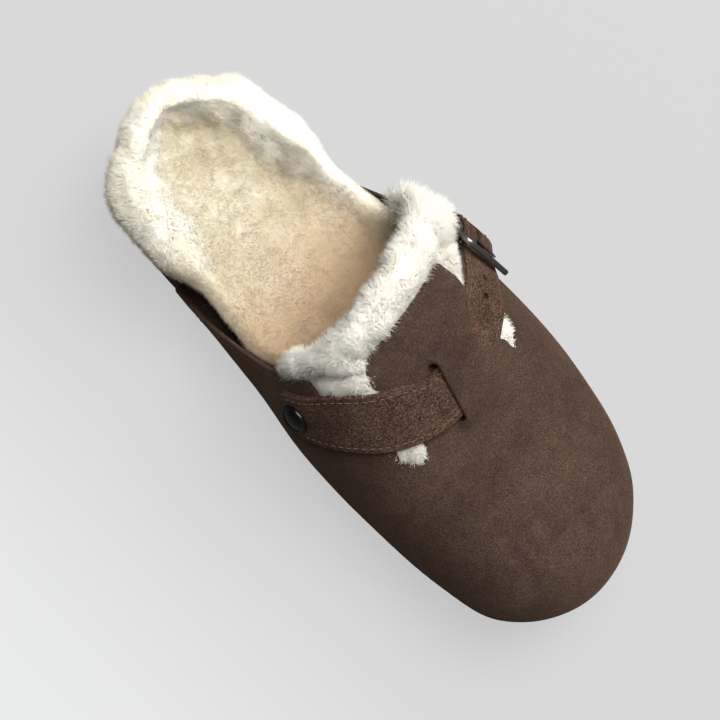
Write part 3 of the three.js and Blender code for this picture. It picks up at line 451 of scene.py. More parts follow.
def panel(name: str, last: Last, outline: Array, under: Heights, over: Heights, holes: Sequence[Array] = (),
          pitch: float = 2.0, edge: float = 0.6, rim: float = 1.1) -> bpy.types.Object:
    """A soft-edged panel cut from its flat pattern and laid on the last.

    Args:
        name: the piece's name.
        last: what it is laid on.
        outline: the pattern's outline.
        under: heights of its under side over the last.
        over: heights of its upper side over the last.
        holes: outlines cut out of it.
        pitch: the spacing of its points away from its edges.
        edge: the radius of its rounded edges.
        rim: the spacing of its points along its edges.

    Returns:
        The piece.
    """
    loops = [closed(outline, rim), *(closed(hole, min(rim, 0.7)) for hole in holes)]
    points, edges = [], []
    fence = np.concatenate([closed(loop, 0.4) for loop in loops])
    for k, loop in enumerate(loops):
        before, after = np.roll(loop, 1, axis=0), np.roll(loop, -1, axis=0)
        area = 0.5 * np.sum(loop[:, 0] * after[:, 1] - after[:, 0] * loop[:, 1])
        way = unit(after - before) * np.sign(area) * (1 if k == 0 else -1)
        inward = np.stack([-way[:, 1], way[:, 0]], 1)
        for depth in (0, edge * 0.35, edge):
            ring = loop + inward * depth
            if depth:
                ring = ring[nearest(ring, fence)[0] > depth * 0.8]
            start = len(points)
            points.extend(ring.tolist())
            if not depth:
                edges.extend((start + i, start + (i + 1) % len(ring)) for i in range(len(ring)))
    low, high = loops[0].min(0), loops[0].max(0)
    rows = np.arange(low[1], high[1], pitch * 0.87)
    grid = np.array([(x + (pitch / 2 if j % 2 else 0), y) for j, y in enumerate(rows)
                     for x in np.arange(low[0], high[0], pitch)])
    grid = grid[inside(grid, loops[0])]
    grid = grid[nearest(grid, fence)[0] > edge + pitch * 0.4]
    points.extend(grid.tolist())
    flat, _, triangles, *_ = delaunay_2d_cdt([Vector(p) for p in points], edges, [], 0, 1e-5)
    flat = np.array([tuple(p) for p in flat])
    triangles = np.array([t for t in triangles if len(t) == 3])
    middles = flat[triangles].mean(1)
    keep = inside(middles, loops[0])
    for loop in loops[1:]:
        keep &= ~inside(middles, loop)
    triangles = triangles[keep]
    depth = nearest(flat, fence)[0]
    depth = np.where(depth < 0.21, 0, depth)
    base, way = last.surface(flat), last.normal(flat)
    top, bottom = over(flat), under(flat)
    radius = np.minimum(edge, (top - bottom) * 0.42)
    drop = np.array(rolled(depth / np.maximum(radius, 1e-6), 1)) * radius
    count = len(flat)
    corners = np.concatenate([base + way * (top - drop)[:, None], base + way * (bottom + drop)[:, None]])
    faces = [tuple(t) for t in triangles] + [(a + count, c + count, b + count) for a, b, c in triangles]
    sides = {}
    for a, b, c in triangles.tolist():
        for p, q in ((a, b), (b, c), (c, a)):
            if (q, p) in sides:
                del sides[(q, p)]
            else:
                sides[(p, q)] = True
    faces += [(q, p, p + count, q + count) for p, q in sides]
    used = sorted({i for f in faces for i in f})
    renamed = {old: new for new, old in enumerate(used)}
    return new_piece(name, corners[used], [[renamed[i] for i in f] for f in faces])


def tube(path: Array, radius: Array, sides: int = 6) -> tuple[Array, list[tuple[int, ...]]]:
    """A closed round tube along a path: its corners and faces."""
    count = len(path)
    along = unit(np.gradient(path, axis=0))
    up = unit(np.cross(along, np.roll(along[:1], 1, axis=1) + [0.31, 0.17, 0.53]))
    other = np.cross(along, up)
    turn = np.arange(sides) * 2 * math.pi / sides
    ring = np.cos(turn)[None, :, None] * up[:, None] + np.sin(turn)[None, :, None] * other[:, None]
    corners = (path[:, None] + ring * np.reshape(radius * np.ones(count), (-1, 1, 1))).reshape(-1, 3)
    return corners, bands(count, sides) + lids(count, sides)


def joined(name: str, parts: Sequence[tuple[Array, list[tuple[int, ...]]]]) -> bpy.types.Object:
    """One piece from several closed shapes."""
    corners, faces, start = [], [], 0
    for points, own in parts:
        corners.append(points)
        faces.extend(tuple(i + start for i in f) for f in own)
        start += len(points)
    return new_piece(name, np.concatenate(corners), faces)


def lofted(name: str, rows: Array, merge: float = 0.02) -> bpy.types.Object:
    """A closed body from rings of points, the first and last of which fold shut on the sole's spine."""
    count, around = rows.shape[:2]
    return new_piece(name, rows.reshape(-1, 3), bands(count, around), merge)


# ---------------------------------------------------------------- shader node groups
def node_group(name: str, inputs: dict[str, float | tuple], outputs: Sequence[str]) -> bpy.types.ShaderNodeTree:
    """An empty shader node group with its sockets.

    Args:
        name: the group's name.
        inputs: each input's name and value, a number or a colour.
        outputs: the outputs' names. One that starts with Color is a colour.

    Returns:
        The group.
    """
    tree = bpy.data.node_groups.new(name, "ShaderNodeTree")
    for key, value in inputs.items():
        kind = "NodeSocketFloat" if isinstance(value, (int, float)) else "NodeSocketColor"
        tree.interface.new_socket(key, in_out="INPUT", socket_type=kind).default_value = value
    for key in outputs:
        kind = "NodeSocketColor" if key.startswith("Color") else "NodeSocketFloat"
        tree.interface.new_socket(key, in_out="OUTPUT", socket_type=kind)
    return tree


class Bench:
    """Lays and joins the nodes of one tree."""

    def __init__(self, tree: bpy.types.NodeTree) -> None:
        """Starts on a tree."""
        self.tree = tree

    def node(self, kind: str, links: dict[str | int, object] | None = None, **settings: object) -> bpy.types.Node:
        """Adds a node.

        Args:
            kind: the node's type.
            links: each input's value, or the output socket that it is joined to.
            settings: the node's own settings.

        Returns:
            The node.
        """
        node = self.tree.nodes.new(kind)
        for key, value in settings.items():
            setattr(node, key, value)
        for key, value in (links or {}).items():
            if isinstance(value, bpy.types.NodeSocket):
                self.tree.links.new(value, node.inputs[key])
            else:
                node.inputs[key].default_value = value
        return node

    def maths(self, what: str, *values: object, clamp: bool = False) -> bpy.types.NodeSocket:
        """The result of a Math node on two or three values."""
        return self.node("ShaderNodeMath", dict(enumerate(values)), operation=what, use_clamp=clamp).outputs[0]

    def mix(self, share: object, first: object, second: object, how: str = "MIX") -> bpy.types.NodeSocket:
        """A mix of two colours."""
        links = {0: share, 6: first, 7: second}
        return self.node("ShaderNodeMix", links, data_type="RGBA", blend_type=how).outputs[2]

    def noise(self, where: object, scale: object, detail: float = 2, rough: float = 0.5,
              warp: float = 0) -> bpy.types.NodeSocket:
        """A noise's values at coordinates."""
        links = {"Vector": where, "Scale": scale, "Detail": detail, "Roughness": rough, "Distortion": warp}
        return self.node("ShaderNodeTexNoise", links).outputs["Fac"]

    def ramp(self, value: object, low: float, high: float) -> bpy.types.NodeSocket:
        """A value brought from a range to 0 and 1, softly."""
        links = {"Value": value, "From Min": low, "From Max": high}
        return self.node("ShaderNodeMapRange", links, interpolation_type="SMOOTHSTEP").outputs[0]


def nap_group() -> bpy.types.ShaderNodeTree:
    """Brushed suede: fine grain, mottled nap and broad swathes laid by the hand."""
    tree = node_group("suede_nap", {"Dark": (0.1, 0.1, 0.1, 1), "Light": (0.2, 0.2, 0.2, 1), "Grain": 1.0,
                                    "Fleck": 1.0, "Mottle": 0.5, "Brush": 0.5}, ["Color", "Height", "Rough"])
    b = Bench(tree)
    given = b.node("NodeGroupInput").outputs
    where = b.node("ShaderNodeTexCoord").outputs["Object"]
    grain = b.noise(where, b.maths("MULTIPLY", given["Grain"], 1500.0), 3, 0.62)
    fleck = b.noise(where, b.maths("MULTIPLY", given["Grain"], 3100.0), 1, 0.5)
    patch = b.noise(where, 190.0, 3, 0.55, 0.6)
    broad = b.noise(where, 26.0, 2, 0.5, 0.4)
    fine = b.maths("MULTIPLY", b.maths("MULTIPLY", b.maths("SUBTRACT", grain, 0.5), 1.5), given["Fleck"])
    specks = b.maths("MULTIPLY", b.maths("MULTIPLY", b.maths("SUBTRACT", fleck, 0.5), 0.9), given["Fleck"])
    mottle = b.maths("MULTIPLY", b.maths("MULTIPLY", b.maths("SUBTRACT", patch, 0.5), 2.0), given["Mottle"])
    swathe = b.maths("MULTIPLY", b.maths("MULTIPLY", b.maths("SUBTRACT", broad, 0.5), 2.6), given["Brush"])
    total = b.maths("ADD", b.maths("ADD", fine, specks), b.maths("ADD", mottle, swathe))
    share = b.maths("POWER", b.maths("ADD", total, 0.5, clamp=True), 1.7)
    height = b.maths("ADD", grain, b.maths("MULTIPLY", patch, 0.35))
    rough = b.maths("ADD", 0.9, b.maths("MULTIPLY", fine, 0.1), clamp=True)
    b.node("NodeGroupOutput", {"Color": b.mix(share, given["Dark"], given["Light"]), "Height": height,
                               "Rough": rough})
    return tree


def wool_group() -> bpy.types.ShaderNodeTree:
    """Shearling: locks of differing cream, with a soft crimped relief; painted shade darkens it lower in the heel's
    bowl, and a painted shade of warm tan, partly the wool's real tan, lies under the front of the opening.
    """
    tree = node_group("wool", {"Root": (0.6, 0.5, 0.4, 1), "Tip": (0.9, 0.9, 0.85, 1), "Worn": (0.5, 0.4, 0.3, 1),
                               "Deep": (0.6, 0.5, 0.4, 1), "Wear": 1.0}, ["Color", "Height"])
    b = Bench(tree)
    given = b.node("NodeGroupInput").outputs
    where = b.node("ShaderNodeTexCoord").outputs["Object"]
    lock = b.noise(where, 150.0, 3, 0.6, 0.8)
    crimp = b.noise(where, 900.0, 2, 0.6, 0.4)
    broad = b.noise(where, 30.0, 2, 0.5)
    share = b.maths("ADD", b.maths("MULTIPLY", lock, 0.9), b.maths("MULTIPLY", b.maths("SUBTRACT", broad, 0.5), 0.9))
    colour = b.mix(b.ramp(share, 0.25, 0.66), given["Root"], given["Tip"])
    place = b.node("ShaderNodeSeparateXYZ", {0: where}).outputs
    # painted shade: the wool darkens towards the shade colour below the heel's rim, where shade falls in the bowl
    hollow_shade = b.maths("MULTIPLY", b.ramp(place[2], 0.05, 0.041), given["Wear"])
    # painted shade with some real tan: a warm tan on the low bed under the front of the opening, broken up by the locks
    fore = b.maths("MULTIPLY", b.ramp(place[1], -0.082, -0.012), b.ramp(place[2], 0.062, 0.036))
    shaded_tan = b.maths("MULTIPLY", b.maths("MULTIPLY", fore, b.ramp(lock, -0.5, 0.95)), given["Wear"], clamp=True)
    body = b.mix(b.maths("MULTIPLY", hollow_shade, b.ramp(share, 1.7, 0.1)), colour, given["Deep"])
    b.node("NodeGroupOutput", {"Color": b.mix(shaded_tan, body, given["Worn"]),
                               "Height": b.maths("ADD", lock, b.maths("MULTIPLY", crimp, 0.5))})
    return tree


def cork_group() -> bpy.types.ShaderNodeTree:
    """Pressed cork: granules of several browns with dark pores between them."""
    tree = node_group("cork_grain", {"Pale": (0.5, 0.3, 0.2, 1), "Brown": (0.3, 0.2, 0.1, 1), "Pore": (0.1, 0, 0, 1)},
                      ["Color", "Height"])
    b = Bench(tree)
    given = b.node("NodeGroupInput").outputs
    where = b.node("ShaderNodeTexCoord").outputs["Object"]
    drift = b.node("ShaderNodeVectorMath", {0: where, 1: b.node("ShaderNodeVectorMath", {
        0: b.node("ShaderNodeTexNoise", {"Vector": where, "Scale": 700.0}).outputs["Color"], 1: (0.0012,) * 3},
        operation="MULTIPLY").outputs[0]}, operation="ADD").outputs[0]
    chip = b.node("ShaderNodeTexVoronoi", {"Vector": drift, "Scale": 420.0})
    border = b.node("ShaderNodeTexVoronoi", {"Vector": drift, "Scale": 420.0}, feature="DISTANCE_TO_EDGE")
    tone = b.node("ShaderNodeSeparateColor", {0: chip.outputs["Color"]}).outputs[0]
    colour = b.mix(tone, given["Pale"], given["Brown"])
    pores = b.maths("MULTIPLY", b.ramp(b.noise(where, 520.0, 2), 0.6, 0.68), b.ramp(tone, 0.2, 0.6))
    seam = b.ramp(border.outputs[0], 0.06, 0.0)
    dark = b.maths("MAXIMUM", pores, b.maths("MULTIPLY", seam, 0.55))
    b.node("NodeGroupOutput", {"Color": b.mix(dark, colour, given["Pore"]), "Height": b.maths("SUBTRACT", 1.0, dark)})
    return tree


def weave_group() -> bpy.types.ShaderNodeTree:
    """A plain weave of coarse yarn, over and under in two directions."""
    tree = node_group("plain_weave", {"Yarn": (0.5, 0.4, 0.3, 1), "Gap": (0.2, 0.1, 0.1, 1), "Pitch": 1.0},
                      ["Color", "Height"])
    b = Bench(tree)
    given = b.node("NodeGroupInput").outputs
    where = b.node("ShaderNodeTexCoord").outputs["Object"]
    part = b.node("ShaderNodeSeparateXYZ", {0: where}).outputs
    wave = [b.maths("SINE", b.maths("MULTIPLY", part[k], b.maths("MULTIPLY", given["Pitch"], 2100.0))) for k in (0, 1)]
    height = b.maths("ADD", b.maths("MULTIPLY", b.maths("MULTIPLY", wave[0], wave[1]), 0.5), 0.5)
    loose = b.noise(where, 600.0, 3)
    share = b.maths("ADD", b.maths("MULTIPLY", height, 0.7), b.maths("MULTIPLY", loose, 0.4), clamp=True)
    b.node("NodeGroupOutput", {"Color": b.mix(share, given["Gap"], given["Yarn"]), "Height": share})
    return tree


def handled_group() -> bpy.types.ShaderNodeTree:
    """A handled surface: smudges, pin scratches and a little tarnish in the tone and the polish."""
    tree = node_group("handled", {"Tone": (0.3, 0.3, 0.3, 1), "Tarnish": (0.1, 0.1, 0.1, 1), "Polish": 0.3},
                      ["Color", "Rough", "Height"])
    b = Bench(tree)
    given = b.node("NodeGroupInput").outputs
    where = b.node("ShaderNodeTexCoord").outputs["Object"]
    smudge = b.noise(where, 160.0, 4, 0.6, 0.3)
    pits = b.noise(where, 1900.0, 2, 0.6)
    stretched = b.node("ShaderNodeMapping", {"Vector": where, "Scale": (240.0, 4200.0, 900.0)}).outputs[0]
    scratch = b.ramp(b.noise(stretched, 1.0, 2, 0.7), 0.58, 0.72)
    rough = b.maths("ADD", given["Polish"], b.maths("ADD", b.maths("MULTIPLY", b.maths("SUBTRACT", smudge, 0.5), 0.34),
                                                    b.maths("MULTIPLY", scratch, 0.16)), clamp=True)
    b.node("NodeGroupOutput", {"Color": b.mix(b.ramp(smudge, 0.38, 0.7), given["Tone"], given["Tarnish"]),
                               "Rough": rough, "Height": b.maths("ADD", pits, scratch)})
    return tree


class Groups:
    """Every shader node group, built when it is first wanted."""

    makers = {"suede_nap": nap_group, "wool": wool_group, "cork_grain": cork_group, "plain_weave": weave_group,
              "handled": handled_group}

    @classmethod
    def get(cls, name: str) -> bpy.types.ShaderNodeTree:
        """A group by its name."""
        return bpy.data.node_groups.get(name) or cls.makers[name]()


# ---------------------------------------------------------------- finishes
def rgb(red: int, green: int, blue: int) -> tuple[float, float, float, float]:
    """A colour from its 8-bit screen values."""
    channels = [c / 255 for c in (red, green, blue)]
    return (*(c / 12.92 if c <= 0.04045 else ((c + 0.055) / 1.055) ** 2.4 for c in channels), 1.0)


@dataclass(frozen=True)
class Finish:
    """A material made of one effect on a shader: what every finish shares."""

    name: str
    effect: str
    values: tuple[tuple[str, object], ...]
    shader: tuple[tuple[str, object], ...] = ()
    bump: float = 0.5
    depth: float = 0.0004
    rough: float | None = None

    def material(self) -> bpy.types.Material:
        """The finish's material, made once."""
        found = bpy.data.materials.get(self.name)
        if found:
            return found
        made = bpy.data.materials.new(self.name)
        made.use_nodes = True
        made.node_tree.nodes.clear()
        b = Bench(made.node_tree)
        effect = b.node("ShaderNodeGroup", node_tree=Groups.get(self.effect))
        for key, value in self.values:
            effect.inputs[key].default_value = value
        bump = b.node("ShaderNodeBump", {"Height": effect.outputs["Height"], "Strength": self.bump,
                                         "Distance": self.depth})
        links: dict[str | int, object] = {"Base Color": effect.outputs["Color"], "Normal": bump.outputs[0]}
        if "Rough" in effect.outputs:
            links["Roughness"] = effect.outputs["Rough"]
        elif self.rough is not None:
            links["Roughness"] = self.rough
        shader = b.node("ShaderNodeBsdfPrincipled", {**links, **dict(self.shader)})
        b.node("ShaderNodeOutputMaterial", {"Surface": shader.outputs[0]})
        return made

    def on(self, piece: bpy.types.Object) -> bpy.types.Object:
        """Dresses a piece in this finish."""
        piece.data.materials.clear()
        piece.data.materials.append(self.material())
        return piece


def suede(name: str, dark: tuple, light: tuple, grain: float, fleck: float, mottle: float, brush: float,
          bump: float = 0.6, sheen: float = 0.3) -> Finish:
    """A suede of two browns."""
    values = (("Dark", dark), ("Light", light), ("Grain", grain), ("Fleck", fleck), ("Mottle", mottle),
              ("Brush", brush))
    shader = (("Sheen Weight", sheen), ("Sheen Roughness", 0.45), ("Sheen Tint", rgb(186, 150, 122)),
              ("Specular IOR Level", 0.12))
    return Finish(name, "suede_nap", values, shader, bump, 0.00035)


def fleece(name: str, root: tuple, tip: tuple, shade_and_tan: float) -> Finish:
    """A shearling of two creams, with a painted tan shade and a painted shade in the bowl's hollow, as strong as its
    last argument.
    """
    # painted shade colours: a warm tan shade, partly the wool's real tan, and the shade of the bowl's hollow
    values = (("Root", root), ("Tip", tip), ("Worn", rgb(154, 120, 86)), ("Deep", rgb(160, 148, 120)),
              ("Wear", shade_and_tan))
    shader = (("Sheen Weight", 0.5), ("Sheen Roughness", 0.7), ("Sheen Tint", rgb(255, 250, 235)),
              ("Specular IOR Level", 0.05), ("Subsurface Weight", 0.2), ("Subsurface Radius", (1.0, 0.9, 0.7)),
              ("Subsurface Scale", 0.002))
    return Finish(name, "wool", values, shader, 0.3, 0.0008, 1.0)


UPPER_SUEDE = suede("brushed_upper", rgb(36, 25, 19), rgb(83, 65, 54), 1.1, 1.1, 0.25, 0.25, 0.7, 0.2)
STRAP_SUEDE = suede("rough_strap", rgb(27, 17, 12), rgb(94, 72, 58), 0.85, 1.4, 0.25, 0.3, 1.0, 0.15)
THREAD = Finish("waxed_thread", "plain_weave", (("Yarn", rgb(104, 84, 70)), ("Gap", rgb(52, 38, 30)), ("Pitch", 3.0)),
                (("Specular IOR Level", 0.3),), 0.5, 0.0002, 0.7)
# the bed's wool carries the painted hollow shade and the painted tan shade; the cuff's and the lining's wool carry none
BED_WOOL = fleece("bed_wool", rgb(244, 235, 210), rgb(252, 249, 235), 1.0)
CUFF_WOOL = fleece("cuff_wool", rgb(224, 218, 201), rgb(236, 233, 222), 0.0)
LINING_WOOL = fleece("lining_wool", rgb(206, 197, 180), rgb(226, 221, 211), 0.0)
CORK = Finish("pressed_cork", "cork_grain", (("Pale", rgb(196, 156, 110)), ("Brown", rgb(158, 112, 72)),
                                             ("Pore", rgb(84, 52, 32))),
              (("Specular IOR Level", 0.25),), 0.7, 0.0004, 0.85)
JUTE_CLOTH = Finish("jute_cloth", "plain_weave", (("Yarn", rgb(200, 172, 124)), ("Gap", rgb(120, 92, 58)),
                                                  ("Pitch", 1.0)), (("Specular IOR Level", 0.2),), 0.8, 0.0004, 0.9)
FOAM = Finish("sole_foam", "handled", (("Tone", rgb(58, 46, 40)), ("Tarnish", rgb(46, 36, 31)), ("Polish", 0.72)),
              (("Specular IOR Level", 0.35),), 0.35, 0.0002)
PEWTER = Finish("worn_pewter", "handled", (("Tone", rgb(126, 125, 122)), ("Tarnish", rgb(98, 96, 92)),
                                            ("Polish", 0.34)), (("Metallic", 1.0),), 0.12, 0.0001)
GUNMETAL = Finish("worn_gunmetal", "handled",
                  (("Tone", rgb(58, 56, 54)), ("Tarnish", rgb(30, 29, 28)), ("Polish", 0.26)),
                  (("Metallic", 1.0),), 0.12, 0.0001)


# ---------------------------------------------------------------- the sole
@dataclass
class Ring:
    """One ring of a sole body: a share of the way from the spine to the outline, then a distance beyond."""

    share: float
    out: Callable[[Array, Array], Array] | float
    rise: Callable[[Array, Array], Array]


@dataclass
class SoleStack:
    """The outsole, the cork under the upper, the footbed and the jute over it."""

    outline: Outline = field(default_factory=Outline)
    outsole_top: float = 9
    midsole: tuple[float, float] = (9.3, 15.8)
    midsole_inset: float = 1
    tread_depth: float = 2
    tread_width: float = 3
    tread_pitch: float = 13
    tread_runs: tuple[tuple[float, float], ...] = ((-107, -63), (-8, 57))
    foot: float = 18
    inset: float = 2
    jute: float = 1
    gap: float = 0.3
    middle_rows: Rows = ((-125, 9), (-85, 9.5), (-40, 12), (0, 10), (40, 7.5), (122, 6))
    rim_rows: Rows = ((-125, 13), (-95, 13), (-62, 8), (-35, 4), (0, 3), (60, 3.5), (122, 3.5))
    half_steps: int = 130

    def ring(self, row: Ring) -> Array:
        """A ring's points, from the toe down the inner side and back up the outer."""
        turn = np.linspace(0, math.pi, self.half_steps + 1)
        inner, outer = self.outline.edge(Side.INNER, turn), self.outline.edge(Side.OUTER, turn[-2:0:-1])
        x, y = (np.concatenate(pair) for pair in zip(inner, outer))
        spine_y = np.clip(y, self.outline.heel_pole, self.outline.toe_pole)
        spine_x = self.outline.axis(spine_y)
        reach = np.hypot(x - spine_x, y - spine_y)
        out = row.out(x, y) if callable(row.out) else row.out
        far = row.share * (reach + out) / reach
        px, py = spine_x + (x - spine_x) * far, spine_y + (y - spine_y) * far
        return np.stack([px, py, row.rise(px, py)], 1)

    def body(self, name: str, rows: Sequence[Ring]) -> bpy.types.Object:
        """A closed body of rings."""
        return lofted(name, np.array([self.ring(row) for row in rows]))

    def level(self, z: float) -> Callable[[Array, Array], Array]:
        """A height that lifts with the sole."""
        return lambda x, y: z + self.outline.spring(y)

    def bed(self, share: float, extra: float = 0) -> Callable[[Array, Array], Array]:
        """The footbed's upper side at a share, with something laid on it."""
        return lambda x, y: (self.foot + self.outline.spring(y) + through(self.middle_rows, y)
                             + through(self.rim_rows, y) * share ** 3 + extra)

    def make_outsole(self) -> bpy.types.Object:
        """The foam outsole, with its side scored and its tread cut."""
        top = self.outsole_top
        side = [(0.9, top), (0.25, top - 0.2), (0, top - 0.9), (0, 6.2), (0.35, 5.9), (0.35, 5.5), (0, 5.2), (0, 1.8),
                (0.3, 0.9), (1.2, 0.0)]
        rows = [Ring(0, 0, self.level(top)), Ring(0.5, 0, self.level(top)), Ring(0.9, 0, self.level(top))]
        rows += [Ring(1, -inset, self.level(z)) for inset, z in side]
        rows += [Ring(share, 0, self.level(0)) for share in (0.9, 0.6, 0.3, 0)]
        piece = self.body("outsole_foam", rows)
        for start, stop in self.tread_runs:
            for y in np.arange(start, stop + 0.1, self.tread_pitch):
                choose(piece)
                bpy.ops.mesh.primitive_cube_add(size=1, location=(0, 0, 0))
                cutter = bpy.context.active_object
                size = (200, self.tread_width, self.tread_depth * 2)
                moved(cutter, Matrix.Translation((0, y * MM, 0)) @ Matrix.Diagonal((*(s * MM for s in size), 1)))
                cut_away(piece, [cutter])
        smooth_by_angle(piece, 38)
        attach(FOAM.on(piece), "clog")
        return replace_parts(piece, "outsole")

    def make_midsole(self) -> bpy.types.Object:
        """The cork between the outsole and the upper."""
        low, high = self.midsole
        side = [(0.7, high), (0.15, high - 0.35), (0, high - 1), (-0.15, (low + high) / 2), (0, low + 1),
                (0.15, low + 0.35), (0.7, low)]
        rows = [Ring(0, 0, self.level(high)), Ring(0.8, 0, self.level(high))]
        rows += [Ring(1, -self.midsole_inset - inset, self.level(z)) for inset, z in side]
        rows += [Ring(0.8, 0, self.level(low)), Ring(0, 0, self.level(low))]
        piece = self.body("cork_midsole", rows)
        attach(CORK.on(piece), "clog")
        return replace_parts(piece, "midsole")

    def make_footbed(self) -> bpy.types.Object:
        """The shaped cork bed, seen at the open heel."""
        shares = (0, 0.25, 0.5, 0.72)
        rows = [Ring(s, 0, self.bed(s)) for s in shares]
        rows += [Ring(1, -self.inset - 3, self.bed(1)), Ring(1, -self.inset - 1.2, self.bed(1, -0.5)),
                 Ring(1, -self.inset - 0.4, self.bed(1, -2)), Ring(1, -self.inset - 0.1, self.bed(1, -5)),
                 Ring(1, -self.inset, self.level(self.foot + 0.6)), Ring(1, -self.inset - 0.5, self.level(self.foot)),
                 Ring(0, 0, self.level(self.foot))]
        piece = self.body("cork_footbed", rows)
        smooth_by_angle(piece, 50)
        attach(CORK.on(piece), "clog")
        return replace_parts(piece, "footbed")

    def make_jute(self) -> bpy.types.Object:
        """The woven layer between the cork and the fleece."""
        low, high = self.gap, self.gap + self.jute
        shares = (0, 0.25, 0.5, 0.72)
        rows = [Ring(s, 0, self.bed(s, high)) for s in shares]
        rows += [Ring(1, -self.inset - 3.4, self.bed(1, high)), Ring(1, -self.inset - 3.2, self.bed(1, high - 0.3)),
                 Ring(1, -self.inset - 3.2, self.bed(1, low + 0.3)), Ring(1, -self.inset - 3.4, self.bed(1, low))]
        rows += [Ring(s, 0, self.bed(s, low)) for s in reversed(shares)]
        piece = self.body("jute_layer", rows)
        smooth_by_angle(piece, 50)
        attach(JUTE_CLOTH.on(piece), "clog")
        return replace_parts(piece, "footbed_jute")

    def build(self) -> list[bpy.types.Object]:
        """Every piece of the sole."""
        return [self.make_outsole(), self.make_midsole(), self.make_footbed(), self.make_jute()]


# ---------------------------------------------------------------- the strap's place, and the upper
@dataclass
class StrapLine:
    """Where the strap runs over the last, and how the tab and the strap make room for each other."""

    last: Last
    line: Rows = ((68, -4.5), (56, 4), (42, 15), (28, 25), (14, 30.5), (0, 30.5), (-14, 25.5), (-28, 17.5), (-44, 6),
                  (-58, -5), (-72, -16.5), (-84, -26.5))
    width: float = 20
    rest: float = 2.05
    dip: float = 0.7
    loop: float = 2.18
    stud_at: float = 7.5
    buckle_at: float = 136
    hinge_at: float = 143.5
    end: float = 163
    slit: tuple[float, float, float, float] = (4.6, 20.5, 8.2, 41)
    slit_width: float = 4.6
    tab_lift: float = 4

    def __post_init__(self) -> None:
        """Measures the line, and how much the pattern stretches across it."""
        self.dense = bend(self.line, 1201)
        self.run = np.concatenate([[0], np.cumsum(np.linalg.norm(np.diff(self.dense, axis=0), axis=1))])
        self.length = float(self.run[-1])
        self.samples = self.dense[::10]
        at = np.linspace(0, self.length, 37)
        use = np.clip(at, 1, self.length - 1)
        way = unit(self.last.surface(self.flat(use + 1, 0)) - self.last.surface(self.flat(use - 1, 0)))
        side = self.last.surface(self.flat(use, 8)) - self.last.surface(self.flat(use, -8))
        side -= way * (side * way).sum(1)[:, None]
        self.stretch = tuple(zip(at.tolist(), (np.linalg.norm(side, axis=1) / 16).tolist()))

    def flat(self, along: Array, across: Array) -> Array:
        """Pattern points by their place along the strap and across it."""
        along = np.clip(np.asarray(along, float), 0, self.length)
        ways = unit(np.gradient(self.dense, axis=0))
        p = np.stack([np.interp(along, self.run, self.dense[:, k]) for k in (0, 1)], -1)
        t = unit(np.stack([np.interp(along, self.run, ways[:, k]) for k in (0, 1)], -1))
        return p + np.stack([t[..., 1], -t[..., 0]], -1) * np.reshape(across, (*np.shape(across), 1))

    def point(self, along: Array, across: Array) -> Array:
        """Pattern points by true millimetres along the strap and across it."""
        return self.flat(along, across / through(self.stretch, along))

    def in_middle(self, flat: Array, soft: float) -> Array:
        """1 where the strap runs beneath the tab and 0 past the tab's sides."""
        x0, y0, x1, y1 = self.slit
        slit_x = x0 + (flat[:, 1] - y0) * (x1 - x0) / (y1 - y0)
        return smooth(-self.slit_width / 2, soft, slit_x - flat[:, 0]) * smooth(-31, -25, flat[:, 0])

    def lift(self, flat: Array) -> Array:
        """How far the tab stands off the last over the strap."""
        off = nearest(flat, self.samples)[0]
        return (self.tab_lift * self.in_middle(flat, self.slit_width / 2)
                * (1 - smooth(self.width / 2 + 0.5, self.width / 2 + 8, off)))

    def under(self, flat: Array) -> Array:
        """How high the strap's under side lies over the last."""
        at, climb = self.buckle_at, self.loop * 2
        rows = [(at - 12, 0), (at - 6, 0.3), (at, 2.4), (at + 5, climb + 0.8), (at + 10, climb + 0.9), (at + 16, 3.8),
                (at + 40, 3.2)]
        along = nearest(flat, self.samples)[1] / (len(self.samples) - 1) * self.length
        return self.rest - self.dip * self.in_middle(flat, 3) + through(rows, np.clip(along, at - 12, at + 40))

    def seat(self, along: float, height: float) -> tuple[Array, Array]:
        """The point over the strap's line at a height, and the way up there."""
        flat = self.point(np.array([along]), np.array([0.0]))
        return self.last.place(flat, np.array([height]))[0], self.last.normal(flat)[0]


def stitches(name: str, last: Last, flat: Array, heights: Array, pitch: float = 3.3, long: float = 2.3,
             thick: float = 0.28) -> bpy.types.Object:
    """A row of stitches along a line of pattern points.

    Args:
        name: the piece's name.
        last: what the leather lies on.
        flat: the seam's line on the pattern.
        heights: how high the leather's face is along it.
        pitch: from one stitch to the next.
        long: how long a stitch shows.
        thick: the thread's radius.

    Returns:
        The piece.
    """
    line = last.place(flat, heights)
    up = last.normal(flat)
    run = np.concatenate([[0], np.cumsum(np.linalg.norm(np.diff(line, axis=0), axis=1))])
    rng = np.random.default_rng(len(name))
    parts = []
    for start in np.arange(pitch / 2, run[-1] - pitch / 2, pitch):
        size = long * rng.uniform(0.9, 1.08)
        t = np.linspace(-0.5, 0.5, 7)
        at = start + t * size
        path = np.stack([np.interp(at, run, line[:, k]) for k in range(3)], 1)
        rise = np.stack([np.interp(at, run, up[:, k]) for k in range(3)], 1)
        arch = 0.32 - 2.9 * np.abs(t) ** 2.4
        parts.append(tube(path + rise * (thick * arch)[:, None] * 1.4, thick * (1 - 0.5 * np.abs(t * 2) ** 3), 6))
    return joined(name, parts)


